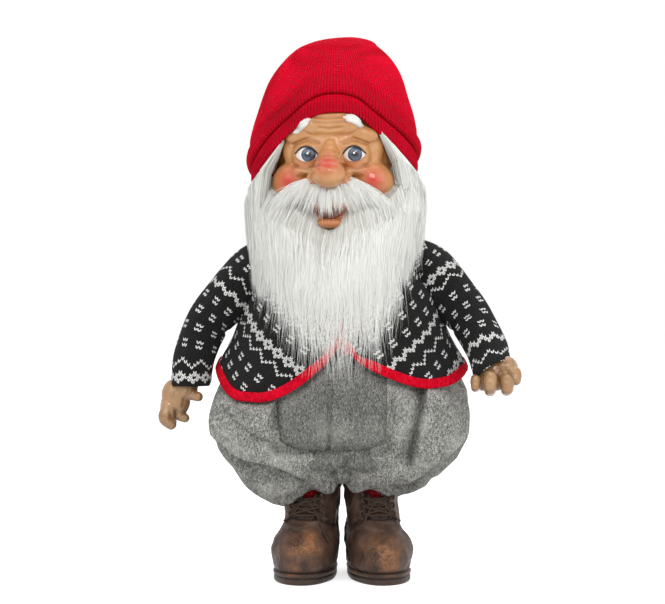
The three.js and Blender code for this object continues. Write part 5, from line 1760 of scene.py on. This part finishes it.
def addStrands(name, paths, widths, seed):
    # many tapered hairs as one mesh; paths are points in millimetres
    rng = np.random.default_rng(seed)
    count, steps = paths.shape[:2]
    run = unit(np.gradient(paths, axis=1), 1e-9)
    # flattened hairs: the broad side lies on the fur, looking out from the head
    out = paths - np.array((*fur["combedRound"], 0.0))
    out[:, :, 2] = 0
    out = unit(out, 1e-9)
    aside = unit(np.cross(run, out + rng.normal(0, 0.24, (count, 1, 3))), 1e-9)
    third = np.cross(aside, run)
    taper = np.interp(np.linspace(0, 1, steps), (0, 0.2, 0.6, 0.85, 1), (0.8, 1, 0.95, 0.7, 0.4))
    wide = widths[:, None, None] * taper[None, :, None] / 2
    rings = [paths + wide * aside, paths - wide * aside, paths - 0.7 * wide * third]
    corners = np.stack(rings, axis=2)[:, :-1].reshape(count, -1, 3)
    spots = np.concatenate((corners, paths[:, -1:]), axis=1)
    size = spots.shape[1]
    faces = [(0, 2, 1)]
    for i in range(steps - 2):
        for k in range(3):
            a, b = 3 * i + k, 3 * i + (k + 1) % 3
            faces += [(a, b, b + 3), (a, b + 3, a + 3)]
    faces += [(3 * (steps - 2) + k, 3 * (steps - 2) + (k + 1) % 3, size - 1) for k in range(3)]
    allFaces = (np.array(faces)[None] + (np.arange(count) * size)[:, None, None]).reshape(-1, 3)
    mesh = bpy.data.meshes.new(name)
    mesh.from_pydata(toFrame(spots.reshape(-1, 3)).tolist(), [], allFaces.tolist())
    obj = bpy.data.objects.new(name, mesh)
    scene.collection.objects.link(obj)
    pickOnly(obj)
    bpy.ops.object.shade_flat()
    # painted shade, darker towards the roots
    share = np.append(np.repeat(np.linspace(0, 1, steps)[:-1], 3), 1.0)
    setAttribute(obj, "along", np.tile(share, count))
    setAttribute(obj, "strand", np.repeat(rng.uniform(0, 1, count), size))
    obj.data.materials.append(furWhite)
    return obj


def clump(paths, guides, picks, most, power=1.4):
    # hairs lean together towards their tips
    pull = most * np.linspace(0, 1, paths.shape[1]) ** power
    return paths + pull[None, :, None] * (guides[picks] - paths)


def beardPaths(phi, layer, reach, seed, wave=1.0):
    # phi in degrees from the front; layer 0 next to the chest, 1 outside; reach 1 for the full length
    rng = np.random.default_rng(seed)
    count = len(phi)
    t = np.linspace(0, 1, fur["steps"])[None, :]
    # down from the cheeks, and never above the cap's edge
    cheek, brim = along(fur["cheekLine"], phi - head["yaw"])[:, 0], along(cap["brim"], phi)[:, 0]
    rootZ = np.minimum(cheek, brim - 2) - 20 * (1 - layer)
    angle = np.radians(phi)
    tipX = fur["tipMiddle"] + fur["tipSpread"] * np.sin(angle)
    tipZ = along(fur["tips"], tipX)[:, 0]
    tipZ = rootZ + (tipZ - rootZ) * reach
    z = rootZ[:, None] + (tipZ - rootZ)[:, None] * t ** 1.1
    z = z + 3 * np.sin(np.clip(t / 0.3, 0, 1) * math.pi) * layer[:, None]
    # narrower from the front than from the side
    wing = (np.sin(angle) ** 2)[:, None]
    inner = fur["beardInner"] - fur["innerWing"] * wing + 10.5 * np.sqrt(np.clip((252 - z) / 86, 0, 1))
    outer = np.where(z > 300, 83 - 8.5 * wing - (z - 300) * 0.2,
                     inner + fur["beardThick"] - fur["thickWing"] * wing)
    envelope = inner + (outer - inner) * layer[:, None]
    # it comes softly off the chin and faster off the cheeks
    chin = bell(phi - head["yaw"], 30)[:, None]
    off = np.sin(np.clip(t / (0.3 + 0.42 * chin), 0, 1) * math.pi / 2) ** 1.2
    rho = fur["rootRadius"] + (envelope - fur["rootRadius"]) * off
    tipPhi = np.arcsin(np.clip((tipX - fur["middle"]) / (rho[:, -1] + 1e-6), -0.99, 0.99))
    turned = angle[:, None] + (tipPhi - angle)[:, None] * smoothStep(0.1, 1.0, t)
    # neighbours wave together, as soft locks
    turned = turned + 0.024 * t * np.sin(0.085 * z + 9 * angle[:, None] + 1.3)
    rho = rho + 0.8 * t * np.sin(0.1 * z + 14 * angle[:, None])
    phase = rng.uniform(0, 2 * math.pi, (count, 1))
    turned = turned + wave * (0.025 * t * np.sin(t * 5 + phase) + rng.normal(0, 0.03, (count, 1)) * t)
    rho = rho + wave * 1.2 * t * np.sin(t * 6 + 1.7 * phase)
    return np.stack((fur["middle"] + rho * np.sin(turned), -rho * np.cos(turned), z), axis=2)


def hairPaths(phi, layer, reach, seed, wave=1.0):
    rng = np.random.default_rng(seed)
    count = len(phi)
    phi = (np.asarray(phi) + 180) % 360 - 180
    t = np.linspace(0, 1, fur["steps"])[None, :]
    rootZ = along(cap["brim"], phi)[:, 0] + 4 + 6 * layer
    angle = np.radians(phi)
    back = smoothStep(100, 150, np.abs(phi))
    tipZ = along(fur["hairTips"], phi)[:, 0]
    tipZ = rootZ + (tipZ - rootZ) * reach
    z = rootZ[:, None] + (tipZ - rootZ)[:, None] * t
    phase = rng.uniform(0, 2 * math.pi, (count, 1))
    # the front locks first go round the cheek
    sign, nape = np.sign(angle)[:, None], back[:, None]
    spread = sign * 0.3 * smoothStep(66, 36, np.abs(phi))[:, None]
    spread = spread * np.sin(np.clip(t * 1.6, 0, 1) * math.pi / 2)
    turned = angle[:, None] + spread - sign * 0.06 * t * (1 - nape)
    # the hair comes out from under the brim before it spreads
    brim = along(cap["brim"], np.degrees(turned).ravel())[:, 0].reshape(turned.shape)
    # behind, it hangs close to the neck
    free = smoothStep(-1, 11 + 17 * nape, brim - z)
    bulge = fur["hairOuter"] + 2 * bell(z - 308, 24)
    bulge = bulge - (fur["outerBehind"] + 0.13 * np.maximum(301 - z, 0)) * nape
    inner = fur["hairInner"] - fur["innerBehind"] * nape
    rho = inner + (bulge - inner) * (0.3 + 0.7 * layer[:, None]) * free
    turned = turned + wave * (0.03 * t * np.sin(t * 5 + phase) + rng.normal(0, 0.035, (count, 1)) * t)
    rho = rho + wave * t * np.sin(t * 6 + 1.7 * phase)
    middleX, middleY = fur["hairMiddle"]
    return np.stack((middleX + rho * np.sin(turned), middleY - rho * np.cos(turned), z), axis=2)


def furMass(name, way, reachAt, span, outside=0.86):
    # the thick of the fur as a closed cushion under its outer hairs
    def place(u, v):
        # out over the fur, and back under it
        around = 2 * u
        first, wide = span[0], span[1] - span[0]
        phi = np.where(around <= 1, first + wide * around, span[1] - wide * (around - 1))
        edge = 1 - smoothStep(0.82, 1.0, np.abs((phi - sum(span) / 2) / (wide / 2)))
        ends = smoothStep(0, 0.08, v) * smoothStep(1, 0.8, v)
        layer = np.where(around <= 1, outside * edge * ends, 0.0)
        reach = np.full(len(phi), reachAt)
        lowest = way(phi, np.zeros(len(phi)), reach, 1, 0.0)
        lifted = way(phi, layer, reach, 1, 0.0)
        lifted[:, :, 2] = lowest[:, :, 2]
        at = v * (fur["steps"] - 1)
        i = np.clip(at.astype(int), 0, fur["steps"] - 2)
        k = np.arange(len(phi))
        rest = (at - i)[:, None]
        return lifted[k, i] * (1 - rest) + lifted[k, i + 1] * rest, np.column_stack((phi, v * 100))

    obj = shapeGrid(name, *fur["cushionGrid"], place)
    faceOutward(obj)
    soften(obj, 4)
    points = dollPoints(obj)
    # painted shade, darker towards the top where the hairs start
    setAttribute(obj, "along", smoothStep(350, 170, points[:, 2]))
    setAttribute(obj, "strand", np.clip(0.45 + 0.3 * ripple(points * (1, 1, 0.12), 4, 71), 0, 1))
    obj.data.materials.append(furWhite)
    return obj


def addFur():
    rng = np.random.default_rng(7)
    pieces = []

    def around(many, temples):
        # at both temples, or round the back from one to the other, in degrees from the front
        if temples:
            sign = rng.choice((-1, 1), many)
            right, left = fur["templeFrom"]
            first = np.where(sign > 0, left, right)
            return sign * (first + (fur["templeTo"] - first) * rng.beta(1.0, 1.3, many))
        phi = rng.uniform(*fur["backSpan"], many)
        return np.where(phi > 180, phi - 360, phi)

    def ends(phi):
        # share of the full length where the fur is still thick
        return 0.58 + 0.2 * np.abs(phi) / fur["beardSpan"]

    def leader(phi, guidePhi, loose):
        # which guide each hair leans to: mostly the nearest
        stray = loose * rng.uniform(0, 1, (len(phi), len(guidePhi)))
        return np.argmin(np.abs(phi[:, None] - guidePhi[None]) + stray, axis=1)

    base = furMass("beard_mass", beardPaths, 0.48, fur["beardCushion"])
    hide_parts("beard")
    pieces.append(base)
    # thick fur, thinner fur and single long hairs
    for k, (kind, count) in enumerate(fur["beardStrands"]):
        phi = rng.uniform(-fur["beardSpan"], fur["beardSpan"], count)
        if kind == "thick":
            reach = ends(phi) * (0.6 + 0.42 * rng.beta(2.2, 1.2, count))
        elif kind == "thin":
            reach = ends(phi) + (0.93 - ends(phi)) * rng.beta(1.1, 1.7, count)
        else:
            reach = rng.uniform(0.8, 1.07, count)
        layer = rng.uniform(0.72, 1.05, count)
        paths = beardPaths(phi, layer, reach, 100 + k, 1.0 if kind == "thick" else 1.5)
        guideCount = count // fur["lock"][kind]
        guidePhi = rng.uniform(-fur["beardSpan"], fur["beardSpan"], guideCount)
        layer = rng.uniform(0.78, 1.0, guideCount)
        guides = beardPaths(guidePhi, layer, np.full(guideCount, reach.mean()), 200 + k)
        picks = leader(phi, guidePhi, 7)
        if kind != "single":
            # each hair keeps its own height
            paths[:, :, :2] = clump(paths, guides, picks, 0.4, 1.7)[:, :, :2]
        widths = rng.uniform(*fur["width"][kind], count)
        pieces.append(addStrands("beard_hairs_%d" % (k + 1), paths, widths, 300 + k))
    hairMass = furMass("hair_mass", hairPaths, 0.85, fur["hairCushion"], outside=0.6)
    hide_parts("hair")
    pieces.append(hairMass)
    for k, count in enumerate(fur["hairStrands"]):
        phi = around(count, k > 0)
        layer = np.clip(0.25 + 0.8 * rng.beta(2.0, 1.2, count), 0, 1.05)
        reach = np.clip(1 - rng.exponential(0.14, count), 0.3, 1.0) + rng.normal(0, 0.02, count)
        paths = hairPaths(phi, layer, reach, 400 + k)
        guideCount = count // fur["lock"]["hair"]
        guidePhi = around(guideCount, k > 0)
        layer = rng.uniform(0.4, 1.0, guideCount)
        reach = np.clip(1 - rng.exponential(0.08, guideCount), 0.5, 1.02)
        guides = hairPaths(guidePhi, layer, reach, 500 + k)
        paths = clump(paths, guides, leader(phi, guidePhi, 12), 0.5)
        widths = rng.uniform(*fur["width"]["thick"], count)
        pieces.append(addStrands("hair_strands_%d" % (k + 1), paths, widths, 600 + k))
    for piece in pieces:
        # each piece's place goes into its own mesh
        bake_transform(piece)


def addMoustache():
    rng = np.random.default_rng(17)
    lumps = [ballAt(onHead([(sign * x, y, z)])[0], size, (0, sign * 20, 0), 24) for sign in (1, -1)
             for (x, y, z), size in fur["moustache"]]
    mass = melt(joinAll("moustache_mass", lumps), 1.4, 6)
    points = dollPoints(mass)
    setAttribute(mass, "along", np.full(len(points), 0.5))
    setAttribute(mass, "strand", np.clip(0.45 + 0.3 * ripple(points * (0.4, 1, 1), 3, 72), 0, 1))
    mass.data.materials.append(furWhite)
    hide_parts("moustache")
    count = fur["moustacheStrands"]
    sign = rng.choice((-1, 1), count)
    a = rng.uniform(0, 1, count)
    high = rng.beta(1.2, 1.7, count)
    out = rng.uniform(0, 1, count)
    flat = a * rng.beta(1.1, 2.0, count)
    # two thin wings that rise beside the nose and hang over the corners of the mouth
    rise = np.sin(math.pi * (0.1 + 0.72 * a))
    start = np.column_stack((sign * (-0.5 + 25 * a), -57 - 1.5 * out + 4 * a,
                             311.5 + 6.5 * high + 12 * rise))
    middle = start + np.column_stack((sign * (1 + 10 * a + 9 * flat), -4.5 - 3.5 * out,
                                      0.5 - 3 * a + 2 * flat))
    reach = np.clip(1.15 - rng.exponential(0.25, count), 0.4, 1.15) + 0.6 * (rng.uniform(0, 1, count) < 0.3)
    tip = start + np.column_stack((sign * (1 + 20 * a + 22 * flat), -3 - 2.5 * out + 9 * flat,
                                   8 * flat - 17 - 10 * a))
    tip = tip + rng.normal(0, 2.0, (count, 3))
    tip = middle + (tip - middle) * reach[:, None]
    t = np.linspace(0, 1, fur["steps"])[None, :, None]
    paths = (1 - t) ** 2 * start[:, None] + 2 * t * (1 - t) * middle[:, None] + t ** 2 * tip[:, None]
    guideCount = count // fur["lock"]["moustache"]
    chosen = rng.choice(count, guideCount, replace=False)
    gap = np.abs(start[:, None, 0] - start[None, chosen, 0]) + 4 * rng.uniform(0, 1, (count, guideCount))
    paths = clump(paths, paths[chosen], np.argmin(gap, axis=1), 0.5)
    turned = onHead(paths.reshape(-1, 3)).reshape(paths.shape)
    hairs = addStrands("moustache_hairs", turned, rng.uniform(*fur["width"]["single"], count), 18)
    for piece in (mass, hairs):
        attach(piece, "head")


addFur()
addMoustache()
print("fur made")


# inner pieces kept from the frame

inner = [
    (makePlain("turnedWood", (150, 108, 66), (206, 168, 120), 120.0, 0.6, stretch=(1, 1, 0.08)),
     ("left_leg_post", "right_leg_post", "hip_block")),
    (makePlain("flatElastic", (200, 196, 188), (228, 226, 220), 500.0, 0.8),
     ("left_hem_elastic", "right_hem_elastic")),
    (makePlain("fibreFill", (206, 204, 198), (236, 235, 231), 90.0, 0.95, bump=0.001),
     ("breeches_filling", "chest_filling", "left_arm_filling", "right_arm_filling")),
    (makePlain("bendingWire", (120, 120, 122), (170, 170, 172), 300.0, 0.35, metallic=1.0),
     ("left_arm_wire", "right_arm_wire", "shoulder_wire")),
    (makePlain("neckString", (196, 188, 170), (226, 220, 206), 400.0, 0.85), ("neck_tie",)),
]
for material, names in inner:
    for name in names:
        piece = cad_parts[name]
        piece.data.materials.clear()
        piece.data.materials.append(material)
print("inner pieces given their finishes")
